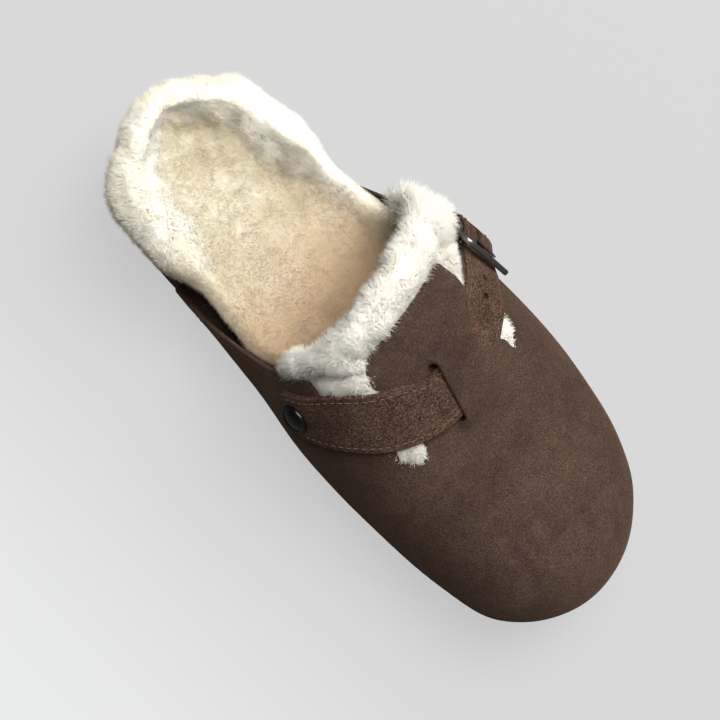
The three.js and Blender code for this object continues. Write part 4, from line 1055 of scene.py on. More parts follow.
@dataclass
class Upper:
    """The suede upper, its seams and its edges."""

    last: Last
    strap: StrapLine
    suede: float = 1.6
    margin: float = 8
    collar: Rows = ((-69, 4), (-60, 7), (-50, 13), (-40, 20.5), (-30, 29), (-20, 38), (-12, 45))
    tab: Rows = ((46.5, -7), (44.5, 4), (39.5, 19), (34.5, 32), (33, 39), (28.5, 43.5), (24, 40), (23.5, 31),
                 (24.5, 20), (25.5, 12), (24, 5.5), (19, 2), (10, 1.2), (0, 0), (-10, -1.6), (-18, -3.6), (-23, -4.6),
                 (-25, -1), (-23.4, 6), (-19.5, 13), (-14.5, 21), (-13.5, 27.5), (-17, 30), (-22, 30.5), (-24, 35),
                 (-27.5, 38), (-31, 35), (-33, 28), (-37.5, 15), (-43.5, -1), (-46.5, -11))
    stations: tuple[float, ...] = (-69, -50, -30, -10, 10, 30, 50, 68, 84, 95, 103, 110, 115, 118.5, 120.8, 121.7)

    def collar_line(self, side: Side, from_y: float = -69) -> Array:
        """The pattern points of the collar's edge on a side, from the rear."""
        rows = [row for row in self.collar if row[0] >= from_y]
        return np.concatenate([self.last.foot(side, -height, [y]) for y, height in rows])

    def round_foot(self, beyond: float, from_y: float = -69) -> Array:
        """The pattern points of the feather edge from the inner rear round the toe to the outer rear."""
        used = [y for y in self.stations if y >= from_y]
        inner = self.last.foot(Side.INNER, beyond, used)
        outer = self.last.foot(Side.OUTER, beyond, used[::-1])
        return bend(np.concatenate([inner, outer]), 420)

    def outline(self) -> Array:
        """The upper's whole pattern."""
        inner, outer = (bend(self.collar_line(side), 60) for side in (Side.INNER, Side.OUTER))
        return np.concatenate([self.round_foot(self.margin), outer, bend(self.tab, 300)[::-1], inner[::-1]])

    def slit(self) -> Array:
        """The slit that the strap comes out of."""
        x0, y0, x1, y1 = self.strap.slit
        half = self.strap.slit_width / 2 - 0.9
        turn = np.linspace(0, math.pi, 9)
        return np.concatenate([np.stack([x1 + half * np.cos(turn), y1 + half * np.sin(turn)], 1),
                               np.stack([x0 - half * np.cos(turn), y0 - half * np.sin(turn)], 1)])

    def make_leather(self) -> bpy.types.Object:
        """The suede itself, softly rounded at every cut edge, with the slight waves of a worked hide."""
        waves = Drift(11, 60, 26, 14)

        def over(flat: Array) -> Array:
            """The suede's face over the last."""
            return self.strap.lift(flat) + self.suede + 0.16 * waves(flat)

        piece = panel("suede_upper", self.last, self.outline(), self.strap.lift, over, [self.slit()], 1.9, 0.62)
        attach(UPPER_SUEDE.on(piece), "clog")
        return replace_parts(piece, "upper")

    def make_seams(self) -> list[bpy.types.Object]:
        """The stitching inside the collar's two edges."""
        pieces = []
        for side in Side:
            line = bend(self.collar_line(side), 90)
            way = unit(np.gradient(line, axis=0))
            inward = np.stack([way[:, 1], -way[:, 0]], 1) * side.value
            flat = line + inward * 2.6
            heights = np.full(len(flat), self.suede)
            piece = stitches(f"collar_stitching_{side.name.lower()}", self.last, flat, heights, 3.0, 2.0, 0.2)
            pieces.append(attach(THREAD.on(piece), "clog"))
        return pieces

    def make_facing(self) -> bpy.types.Object:
        """The thin patch of leather under the slit, which keeps the lining out of it."""
        x0, y0, x1, y1 = self.strap.slit
        turn = np.linspace(0, 2 * math.pi, 25)[:-1]
        middle, half = np.array([(x0 + x1) / 2, (y0 + y1) / 2]), np.array([6.5, (y1 - y0) / 2 + 7])
        oval = middle + np.stack([np.cos(turn), np.sin(turn)], 1) * half
        piece = panel("slit_facing", self.last, oval, lambda flat: np.full(len(flat), -0.27),
                      lambda flat: np.full(len(flat), -0.07), (), 3, 0.05)
        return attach(STRAP_SUEDE.on(piece), "clog")

    def build(self) -> list[bpy.types.Object]:
        """Every piece of the upper."""
        return [self.make_leather(), self.make_facing(), *self.make_seams()]


@dataclass
class Strap:
    """The instep strap: two layers of suede, stitched along both edges and punched for the prong."""

    last: Last
    line: StrapLine
    corner: float = 3
    face: float = 1.1
    backing: float = 0.8
    gap: float = 0.3
    holes: tuple[float, ...] = (112, 120, 150.5)
    hole_radius: float = 1.3
    slot_long: float = 11.5
    slot_wide: float = 4
    seam: float = 2.1
    fuller: float = 3.4
    fuller_in: tuple[float, float] = (9, 30)
    fuller_out: tuple[float, float] = (54, 70)

    def fullness(self, along: Array) -> Array:
        """How far the rear edge swells past the strap's own width, at lengths along it."""
        return self.fuller * smooth(*self.fuller_in, along) * (1 - smooth(*self.fuller_out, along))

    def layer(self, name: str, low: float, high: float) -> bpy.types.Object:
        """One layer of the strap.

        Args:
            name: the piece's name.
            low: the height of its lower face over the strap's under side.
            high: the height of its upper face.

        Returns:
            The layer, without its holes.
        """
        edge = min(0.5, (high - low) * 0.42)
        ends = np.array([0, 0.12, 0.3, 0.6, 1.1, 1.8, 2.6])
        along = np.concatenate([ends, np.arange(3.6, self.line.end - 3.2, 1.05), self.line.end - ends[::-1]])
        depth = np.minimum(np.minimum(along, self.line.end - along), self.corner)
        half = self.line.width / 2 - self.corner + np.sqrt(self.corner ** 2 - (self.corner - depth) ** 2)
        inset = np.array([0, 0.1, 0.28, 0.6])
        share = np.linspace(-1, 1, 15)[1:-1]
        columns = []
        for h in half:
            columns.append(np.concatenate([-h + inset, share * (h - 0.9), (h - inset)[::-1]]))
        fuller = self.fullness(along)
        across = np.array(columns)
        rows, count = across.shape
        set_back = (across - fuller[:, None] * smooth(0, -half.max(), across)).ravel()
        flat = self.line.point(np.repeat(along, count), set_back)
        base, up = self.last.surface(flat), self.last.normal(flat)
        bottom = self.line.under(flat) + low
        bottom = bottom.reshape(rows, count)
        settle = np.exp(-0.5 * (np.arange(-3, 4) / 1.4) ** 2)
        padded = np.pad(bottom, ((3, 3), (0, 0)), "edge")
        bottom = sum(w * padded[k:k + rows] for k, w in enumerate(settle / settle.sum())).ravel()
        off = np.minimum(np.repeat(half, count) - np.abs(across.ravel()),
                         np.repeat(np.minimum(along, self.line.end - along), count))
        drop = rolled(np.maximum(off, 0), edge)
        soft = Drift(5, 22, 9, 16)(flat) * 0.12
        top = bottom + (high - low)
        layers = [base + up * (top + soft - drop)[:, None], base + up * (bottom + soft * 0.5 + drop)[:, None]]
        quads = [(i * count + j, (i + 1) * count + j, (i + 1) * count + j + 1, i * count + j + 1)
                 for i in range(rows - 1) for j in range(count - 1)]
        n = rows * count
        ring = ([j for j in range(count)] + [i * count + count - 1 for i in range(1, rows)]
                + [(rows - 1) * count + j for j in range(count - 2, -1, -1)]
                + [i * count for i in range(rows - 2, 0, -1)])
        faces = quads + [tuple(i + n for i in q[::-1]) for q in quads]
        faces += [(p, q, q + n, p + n) for p, q in zip(ring, ring[1:] + ring[:1])]
        return new_piece(name, np.concatenate(layers), faces)

    def cutter(self, at: float, long: float, wide: float) -> bpy.types.Object:
        """A round-ended cutter through the strap.

        Args:
            at: how far along the strap it stands.
            long: its length along the strap.
            wide: its width.

        Returns:
            The cutter.
        """
        flat = self.line.point(np.array([at - 0.5, at + 0.5]), np.zeros(2))
        height = float(self.line.under(flat).mean())
        centre, up = self.line.seat(at, height)
        way = unit(np.diff(self.last.surface(flat), axis=0)[0])
        side = np.cross(up, way)
        turn = np.linspace(0, 2 * math.pi, 29)[:-1]
        x = np.sign(np.cos(turn)) * (long - wide) / 2 + wide / 2 * np.cos(turn)
        shape = centre + np.outer(x, way) + np.outer(wide / 2 * np.sin(turn), side)
        corners = np.concatenate([shape + up * 12, shape - up * 6])
        count = len(turn)
        faces = [tuple(range(count)), tuple(range(2 * count - 1, count - 1, -1))]
        faces += [(i, count + i, count + (i + 1) % count, (i + 1) % count) for i in range(count)]
        return new_piece("cutter", corners, faces)

    def build(self) -> list[bpy.types.Object]:
        """Both layers, and their stitching."""
        levels = {"strap": (self.backing + self.gap, self.backing + self.gap + self.face),
                  "strap_backing": (0, self.backing)}
        pieces = []
        for node, (low, high) in levels.items():
            piece = self.layer(f"{node}_leather", low, high)
            cut_away(piece, [self.cutter(self.line.hinge_at - 5.6, self.slot_long, self.slot_wide),
                             *(self.cutter(at, self.hole_radius * 2, self.hole_radius * 2) for at in self.holes),
                             self.cutter(self.line.stud_at, 3.3, 3.3)])
            smooth_by_angle(piece, 50)
            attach(STRAP_SUEDE.on(piece), "clog")
            pieces.append(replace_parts(piece, node))
        for side in (-1, 1):
            along = np.linspace(3.2, self.line.end - 3.2, 500)
            back = self.fullness(along) * (side < 0)
            flat = self.line.point(along, side * (self.line.width / 2 - self.seam) - back)
            heights = self.line.under(flat) + self.backing + self.gap + self.face
            kernel = np.ones(15) / 15
            heights = np.convolve(np.pad(heights, 7, "edge"), kernel, "valid")
            name = f"strap_stitching_{'rear' if side > 0 else 'front'}"
            piece = stitches(name, self.last, flat, heights, 3.1, 2.1, 0.22)
            pieces.append(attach(THREAD.on(piece), "clog"))
        return pieces


# ---------------------------------------------------------------- the stud and the buckle
def standing(at: Array, up: Array, ahead: Array | None = None) -> Matrix:
    """The place of a part drawn upright in millimetres: its Z laid along `up`, its X as near `ahead` as it can be."""
    z = Vector(up).normalized()
    x = Vector(ahead) if ahead is not None else Vector((0.3, 0.8, 0.5))
    x = (x - z * x.dot(z)).normalized()
    turn = Matrix((x, z.cross(x), z)).transposed().to_4x4()
    return Matrix.Translation(Vector(at) * MM) @ turn @ Matrix.Scale(MM, 4)


def turned_cap(name: str, rows: Rows, place: Matrix, sides: int = 56) -> bpy.types.Object:
    """A turned metal part, grown upwards from a disc by extruding and scaling its top.

    Args:
        name: the piece's name.
        rows: its radius and height at each step, from the bottom up.
        place: where it stands.
        sides: how many sides it is turned with.

    Returns:
        The piece.
    """
    bpy.ops.object.select_all(action="DESELECT")
    radius, height = rows[0]
    bpy.ops.mesh.primitive_circle_add(vertices=sides, radius=radius, fill_type="NGON", location=(0, 0, height))
    piece = bpy.context.active_object
    piece.name = piece.data.name = name
    bpy.ops.object.mode_set(mode="EDIT")
    bpy.ops.mesh.select_all(action="SELECT")
    for wide, high in rows[1:]:
        bpy.ops.mesh.extrude_region_move(TRANSFORM_OT_translate={"value": (0, 0, high - height)})
        bpy.ops.transform.resize(value=(wide / radius, wide / radius, 1), center_override=(0, 0, high))
        radius, height = wide, high
    bpy.ops.mesh.select_all(action="SELECT")
    bpy.ops.mesh.normals_make_consistent(inside=False)
    bpy.ops.object.mode_set(mode="OBJECT")
    bpy.ops.object.transform_apply(location=True, rotation=True, scale=True)
    moved(piece, place)
    smooth_by_angle(piece, 32)
    return piece


@dataclass
class Stud:
    """The dark press stud that holds the strap's inner end."""

    strap: StrapLine
    seat: float = 4.55
    radius: float = 6.2
    height: float = 2.2
    shank: float = 1.5

    def build(self) -> list[bpy.types.Object]:
        """The stud, with a raised rolled rim round a shallow dome, and its washer inside the upper."""
        at, up = self.strap.seat(self.strap.stud_at, 0)
        s, r, h = self.seat, self.radius, self.height
        rows = [(self.shank, -0.1), (self.shank, s), (r - 0.5, s), (r - 0.12, s + 0.14), (r, s + 0.5),
                (r - 0.06, s + 0.9), (r - 0.35, s + 1.32), (r - 0.8, s + 1.5), (r - 1.15, s + 1.42),
                (r - 1.4, s + 1.18), (r - 1.55, s + 1.12),
                (r - 1.9, s + 1.25), (r - 2.6, s + 1.55), (r - 3.5, s + h * 0.84), (r - 4.6, s + h * 0.95),
                (r - 5.6, s + h), (0.12, s + h)]
        cap = turned_cap("stud_cap", rows, standing(at, up))
        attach(GUNMETAL.on(cap), "clog")
        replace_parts(cap, "stud")
        base = turned_cap("stud_washer", WASHER, standing(at, up), 40)
        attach(GUNMETAL.on(base), "clog")
        return [cap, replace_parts(base, "stud_base")]


@dataclass
class Buckle:
    """The buckle: its chape, frame and prong, drawn in the buckle's own frame of reference.

    The origin is on the hinge bar. X runs to the front bar, Y across the strap and Z out of it.
    """

    last: Last
    strap: StrapLine
    bar: float = 1.1
    clearance: float = 0.08
    eye_play: float = 0.12
    eye_wall: float = 0.78
    eye_ease: float = 0.58
    reach: float = 15
    inner: float = 23
    rail: float = 3
    thick: float = 2.2
    gap: float = 0.3
    strap_thick: float = 2.2
    prong_width: float = 2.4
    chape_thick: float = 1
    chape_width: float = 18
    chape_end: float = 29
    rivet_at: float = 23.5

    def __post_init__(self) -> None:
        """Finds the hinge, and the tilt that lifts the front bar clear of the strap."""
        s = self.strap
        self.hinge, up = s.seat(s.hinge_at, s.rest + s.loop)
        ahead = s.seat(s.hinge_at - self.reach, s.rest + s.loop)[0]
        self.fore0 = unit(ahead - self.hinge)
        self.out0 = unit(up - self.fore0 * float(up @ self.fore0))
        self.across = np.cross(self.out0, self.fore0)
        along, across = np.meshgrid(s.hinge_at - self.reach + np.arange(-5, 6), np.arange(-10, 11))
        flat = s.point(along.ravel(), across.ravel())
        p = self.last.place(flat, s.under(flat) + self.strap_thick) - self.hinge
        run, high = p @ self.fore0, p @ self.out0
        near = np.abs(run - self.reach) <= self.rail
        tilt = float(((high + self.thick / 2 + self.gap) / run)[near].max())
        self.fore = unit(self.fore0 + self.out0 * tilt)
        self.out = unit(self.out0 - self.fore0 * tilt)

    @property
    def place(self) -> Matrix:
        """The buckle's own frame of reference, as a matrix from millimetres."""
        return standing(self.hinge, self.out, self.fore)

    def make_frame(self) -> bpy.types.Object:
        """The flat open frame, with eased edges, and the bar across its rear."""
        wide, tall, rail = self.inner / 2, self.reach - self.rail / 2, self.rail
        corner = np.linspace(0, math.pi / 2, 7)
        outer = [(-1.6, -wide - rail),
                 *((tall - 0.6 + 3.6 * math.sin(c), -wide + 0.6 - 3.6 * math.cos(c)) for c in corner),
                 *((tall - 0.6 + 3.6 * math.cos(c), wide - 0.6 + 3.6 * math.sin(c)) for c in corner),
                 (-1.6, wide + rail)]
        inner = [(-1.6, -wide), *((tall - 1.6 + 1.6 * math.sin(c), -wide + 1.6 - 1.6 * math.cos(c)) for c in corner),
                 *((tall - 1.6 + 1.6 * math.cos(c), wide - 1.6 + 1.6 * math.sin(c)) for c in corner), (-1.6, wide)]
        count = len(outer)
        half = self.thick / 2
        corners = np.array([(x, y, z) for z in (-half, half) for x, y in (*outer, *inner)])
        faces = []
        for i in range(count - 1):
            a, b, c, d = i, i + 1, count + i + 1, count + i
            n = 2 * count
            faces += [(a, b, c, d), (d + n, c + n, b + n, a + n), (a, a + n, b + n, b), (c, c + n, d + n, d)]
        n = 2 * count
        faces += [(0, count, count + n, n), (count - 1, count - 1 + n, 2 * count - 1 + n, 2 * count - 1)]
        ring = new_piece("buckle_ring", corners, faces)
        moved(ring, Matrix.Scale(1 / MM, 4))
        modifier = ring.modifiers.new("edges", "BEVEL")
        modifier.width, modifier.segments, modifier.limit_method = 0.7, 4, "ANGLE"
        modifier.angle_limit = math.radians(40)
        apply_all(ring)
        bpy.ops.object.select_all(action="DESELECT")
        bpy.ops.mesh.primitive_cylinder_add(vertices=32, radius=self.bar, depth=2 * wide + 2,
                                            rotation=(math.pi / 2, 0, 0))
        rod = bpy.context.active_object
        bpy.ops.object.transform_apply(location=True, rotation=True, scale=True)
        rod.select_set(True)
        ring.select_set(True)
        bpy.context.view_layer.objects.active = ring
        bpy.ops.object.join()
        moved(ring, self.place)
        smooth_by_angle(ring, 35)
        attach(PEWTER.on(ring), "buckle")
        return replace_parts(ring, "buckle_frame")

    def make_prong(self) -> bpy.types.Object:
        """The prong: an eye round the bar, and an arm that rests over the front bar."""
        rest, loop, r = self.thick / 2 + self.gap, self.bar + self.clearance + self.eye_play, self.reach
        half = self.prong_width / 2
        low = bend([(0.4, loop + 0.1), (1.8, loop - 0.25), (r * 0.5, rest - 0.12), (r - 3, rest + 0.02),
                    (r + self.rail / 2 + 0.9, rest)], 26)
        thick = np.interp(np.linspace(0, 1, 26), [0, 0.1, 0.8, 1], [0.9, 1.45, 1.2, 0.75])
        wide = np.interp(np.linspace(0, 1, 26), [0, 0.85, 1], [half, half * 0.92, half * 0.6])
        turn = np.linspace(0, 2 * math.pi, 17)[:-1]
        shape = np.stack([np.sign(f) * np.abs(f) ** 0.55 for f in (np.cos(turn), np.sin(turn))], 1)
        rings = np.array([[(x, sy * w, z + t / 2 + sz * t / 2) for sy, sz in shape]
                          for (x, z), t, w in zip(low, thick, wide)])
        count = len(turn)
        faces = bands(len(rings), count) + lids(len(rings), count)
        arm = new_piece("buckle_tongue", rings.reshape(-1, 3), faces)
        moved(arm, Matrix.Scale(1 / MM, 4))
        bpy.ops.object.select_all(action="DESELECT")
        ease, wall = loop + self.eye_ease, loop + self.eye_wall
        profile = [(loop, -half + 0.3), (loop + 0.25, -half), (ease, -half), (wall, -half + 0.3),
                   (wall, half - 0.3), (ease, half), (loop + 0.25, half), (loop, half - 0.3)]
        steps = 36
        turn = np.linspace(0, 2 * math.pi, steps + 1)[:-1]
        eye = np.array([(radius * math.cos(t), y, radius * math.sin(t)) for t in turn for radius, y in profile])
        loop_piece = new_piece("prong_eye", eye, bands(steps, len(profile), True))
        moved(loop_piece, Matrix.Scale(1 / MM, 4))
        choose(arm)
        loop_piece.select_set(True)
        bpy.ops.object.join()
        moved(arm, self.place)
        smooth_by_angle(arm, 40)
        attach(PEWTER.on(arm), "prong")
        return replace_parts(arm, "buckle_prong")

    def make_chape(self) -> bpy.types.Object:
        """The short leather that folds round the bar and is riveted to the upper."""
        s, t = self.strap, self.chape_thick
        end, low = s.hinge_at + self.chape_end, s.rest
        middle = low + s.loop
        line = [(end - (self.chape_end - 1) * i / 12, low) for i in range(13)]
        line += [(s.hinge_at + s.loop * math.cos(a), middle + s.loop * math.sin(a))
                 for a in np.linspace(-math.pi / 2, -3 * math.pi / 2, 19)]
        line += [(s.hinge_at + 3, middle + 1.6), (s.hinge_at + 6, low + 2 * t + 0.8)]
        line += [(s.hinge_at + 9 + (self.chape_end - 9) * i / 9, low + 2 * t) for i in range(10)]
        line += [(end + 0.25, low + 2 * t - 0.3), (end + 0.25, low + 0.3)]
        outline = np.array(line)
        inset = np.array([0, 0.1, 0.35, 0.8])
        half = self.chape_width / 2
        across = np.concatenate([-half + inset, np.linspace(-half + 2, half - 2, 11), (half - inset)[::-1]])
        centre = np.array([np.clip(outline[:, 0], s.hinge_at, None),
                           np.where(outline[:, 0] < s.hinge_at + 4, middle, low + t)]).T
        rings = []
        for w in across:
            pull = float(rolled(np.array([half - abs(w)]), 0.5)[0])
            way = unit(centre - outline) * pull
            shape = outline + way
            flat = s.point(shape[:, 0], np.full(len(shape), w))
            laid = self.last.place(flat, shape[:, 1])
            straight = (self.hinge + np.outer(s.hinge_at - shape[:, 0], self.fore0) + self.across * w
                        + np.outer(shape[:, 1] - middle, self.out0))
            share = smooth(4, 11, shape[:, 0] - s.hinge_at)[:, None]
            rings.append(straight * (1 - share) + laid * share)
        rings = np.array(rings)
        count = len(outline)
        faces = bands(len(rings), count) + lids(len(rings), count)
        piece = new_piece("chape_leather", rings.reshape(-1, 3), faces)
        bore = self.bar + self.clearance
        cutters = []
        bpy.ops.object.select_all(action="DESELECT")
        bpy.ops.mesh.primitive_cylinder_add(vertices=32, radius=bore, depth=40, rotation=(math.pi / 2, 0, 0))
        cutters.append(bpy.context.active_object)
        bpy.ops.object.select_all(action="DESELECT")
        bpy.ops.mesh.primitive_cube_add(size=1, location=(2, 0, 0), scale=(14, self.prong_width + 0.8, 12))
        cutters.append(bpy.context.active_object)
        for cutter, place in zip(cutters, (standing(self.hinge, self.out0, self.fore0), self.place)):
            choose(cutter)
            bpy.ops.object.transform_apply(location=True, rotation=True, scale=True)
            moved(cutter, place)
        cut_away(piece, cutters)
        smooth_by_angle(piece, 45)
        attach(STRAP_SUEDE.on(piece), "clog")
        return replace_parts(piece, "chape")

    def make_rivet(self) -> list[bpy.types.Object]:
        """The chape's rivet and its washer inside the upper."""
        at, up = self.strap.seat(self.strap.hinge_at + self.rivet_at, 0)
        s = self.strap.rest + 2 * self.chape_thick + self.gap
        rows = [(1.5, -0.1), (1.5, s), (2.9, s), (3.2, s + 0.25), (3.1, s + 0.6), (2.6, s + 0.92), (1.8, s + 1.1),
                (0.9, s + 1.2), (0.1, s + 1.2)]
        cap = turned_cap("chape_rivet_cap", rows, standing(at, up), 40)
        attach(PEWTER.on(cap), "clog")
        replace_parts(cap, "chape_rivet")
        base = turned_cap("chape_rivet_washer", WASHER, standing(at, up), 40)
        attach(PEWTER.on(base), "clog")
        return [cap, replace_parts(base, "chape_rivet_base")]

    def build(self) -> list[bpy.types.Object]:
        """Every piece of the buckle."""
        return [self.make_chape(), *self.make_rivet(), self.make_frame(), self.make_prong()]


# ---------------------------------------------------------------- the fleece
@dataclass(frozen=True)
class Locks:
    """How the wool stands on a body of fleece."""

    seed: int
    count: int
    length: float
    thick: float = 0.3
    stand: float = 0.9
    sweep: float = 0.8
    stray: float = 0.35
    curl: float = 0.5
    soft: float = 0.75

    def grow(self, piece: bpy.types.Object,
             want: Callable[[Array, Array], tuple[Array, Array, Array]]) -> bpy.types.Object:
        """Adds the wool to a body, as one mesh with it.

        Args:
            piece: the body.
            want: from points and outward ways in millimetres, how dense the wool is, how long, and its lay.

        Returns:
            The piece.
        """
        rng = np.random.default_rng(self.seed)
        mesh = piece.data
        mesh.calc_loop_triangles()
        corners, ways = read_rows(mesh.vertices, "co") / MM, read_rows(mesh.vertices, "normal")
        tri = read_rows(mesh.loop_triangles, "vertices", int)
        a, b, c = (corners[tri[:, k]] for k in range(3))
        area = np.linalg.norm(np.cross(b - a, c - a), axis=1) / 2
        dense, _, _ = want((a + b + c) / 3, unit(ways[tri].mean(1)))
        weight = area * np.maximum(dense, 0)
        chosen = rng.choice(len(tri), self.count, p=weight / weight.sum())
        u, v = rng.random(self.count), rng.random(self.count)
        over = u + v > 1
        u, v = np.where(over, 1 - u, u), np.where(over, 1 - v, v)
        share = np.stack([1 - u - v, u, v], 1)[:, :, None]
        root = (corners[tri[chosen]] * share).sum(1)
        way = unit((ways[tri[chosen]] * share).sum(1))
        _, long, lay = want(root, way)
        drift = np.stack([Drift(self.seed + k, 15, 6, 24)(root) for k in (1, 2, 3)], 1)
        twist = np.stack([Drift(self.seed + k, 6, 2.6, 24)(root) for k in (4, 5, 6)], 1)
        start = unit(way * self.stand + lay * 0.5 + drift * 0.35 * self.sweep
                     + rng.normal(size=root.shape) * self.stray * 0.5)
        finish = unit(way * self.stand * 0.5 + lay + drift * self.sweep + twist * self.curl
                      + rng.normal(size=root.shape) * self.stray)
        inward = (finish * way).sum(1)
        finish = unit(finish + way * np.maximum(0, 0.12 - inward)[:, None])
        size = (long * self.length * rng.uniform(0.7, 1.15, self.count))[:, None]
        points, faces = strands(root - way * 0.35, start, finish, size, self.thick, rng)
        total = np.concatenate([corners, points])
        polygons = [tuple(p.vertices) for p in mesh.polygons] + [tuple(f) for f in (faces + len(corners)).tolist()]
        new = bpy.data.meshes.new(piece.name)
        new.from_pydata((total * MM).tolist(), [], polygons)
        new.shade_smooth()
        own = read_rows(new.vertices, "normal")[len(corners):]
        soft = unit(np.repeat(way, 7, axis=0) * self.soft + own * (1 - self.soft))
        new.normals_split_custom_set_from_vertices(np.concatenate([unit(ways), soft]).tolist())
        piece.data = new
        bpy.data.meshes.remove(mesh)
        return piece


def strands(root: Array, start: Array, finish: Array, size: Array, thick: float,
            rng: np.random.Generator) -> tuple[Array, Array]:
    """Tapered three-sided locks.

    Args:
        root: where each begins.
        start: the way that each sets out.
        finish: the way that each ends.
        size: how long each is.
        thick: the radius at the root.
        rng: the source of each one's turn.

    Returns:
        The corners, and the faces as triangles.
    """
    count = len(root)
    side = unit(np.cross(start, finish + 0.013))
    other = unit(np.cross(start, side))
    spin = rng.uniform(0, 2 * math.pi, count)
    rings = []
    for t, width in ((0, 1.0), (0.55, 0.75)):
        centre = root + size * (start * (t - t * t / 2) + finish * (t * t / 2)) * 1.12
        for k in range(3):
            turn = (spin + k * 2 * math.pi / 3)[:, None]
            rings.append(centre + (np.cos(turn) * side + np.sin(turn) * other) * thick * width)
    rings.append(root + size * (start * 0.5 + finish * 0.5) * 1.12)
    points = np.stack(rings, 1)
    pattern = [(0, 2, 1)]
    for k in range(3):
        a, b = k, (k + 1) % 3
        pattern += [(a, b, b + 3), (a, b + 3, a + 3), (a + 3, b + 3, 6)]
    faces = (np.arange(count)[:, None, None] * 7 + np.array(pattern)[None]).reshape(-1, 3)
    return points.reshape(-1, 3), faces


def swell(piece: bpy.types.Object, how_much: Callable[[Array, Array], Array]) -> bpy.types.Object:
    """Moves a body's points out along its own normals, by millimetres that depend on place and way."""
    corners, ways = read_rows(piece.data.vertices, "co"), read_rows(piece.data.vertices, "normal")
    corners = corners + ways * (how_much(corners / MM, ways) * MM)[:, None]
    piece.data.vertices.foreach_set("co", corners.ravel())
    piece.data.update()
    return piece


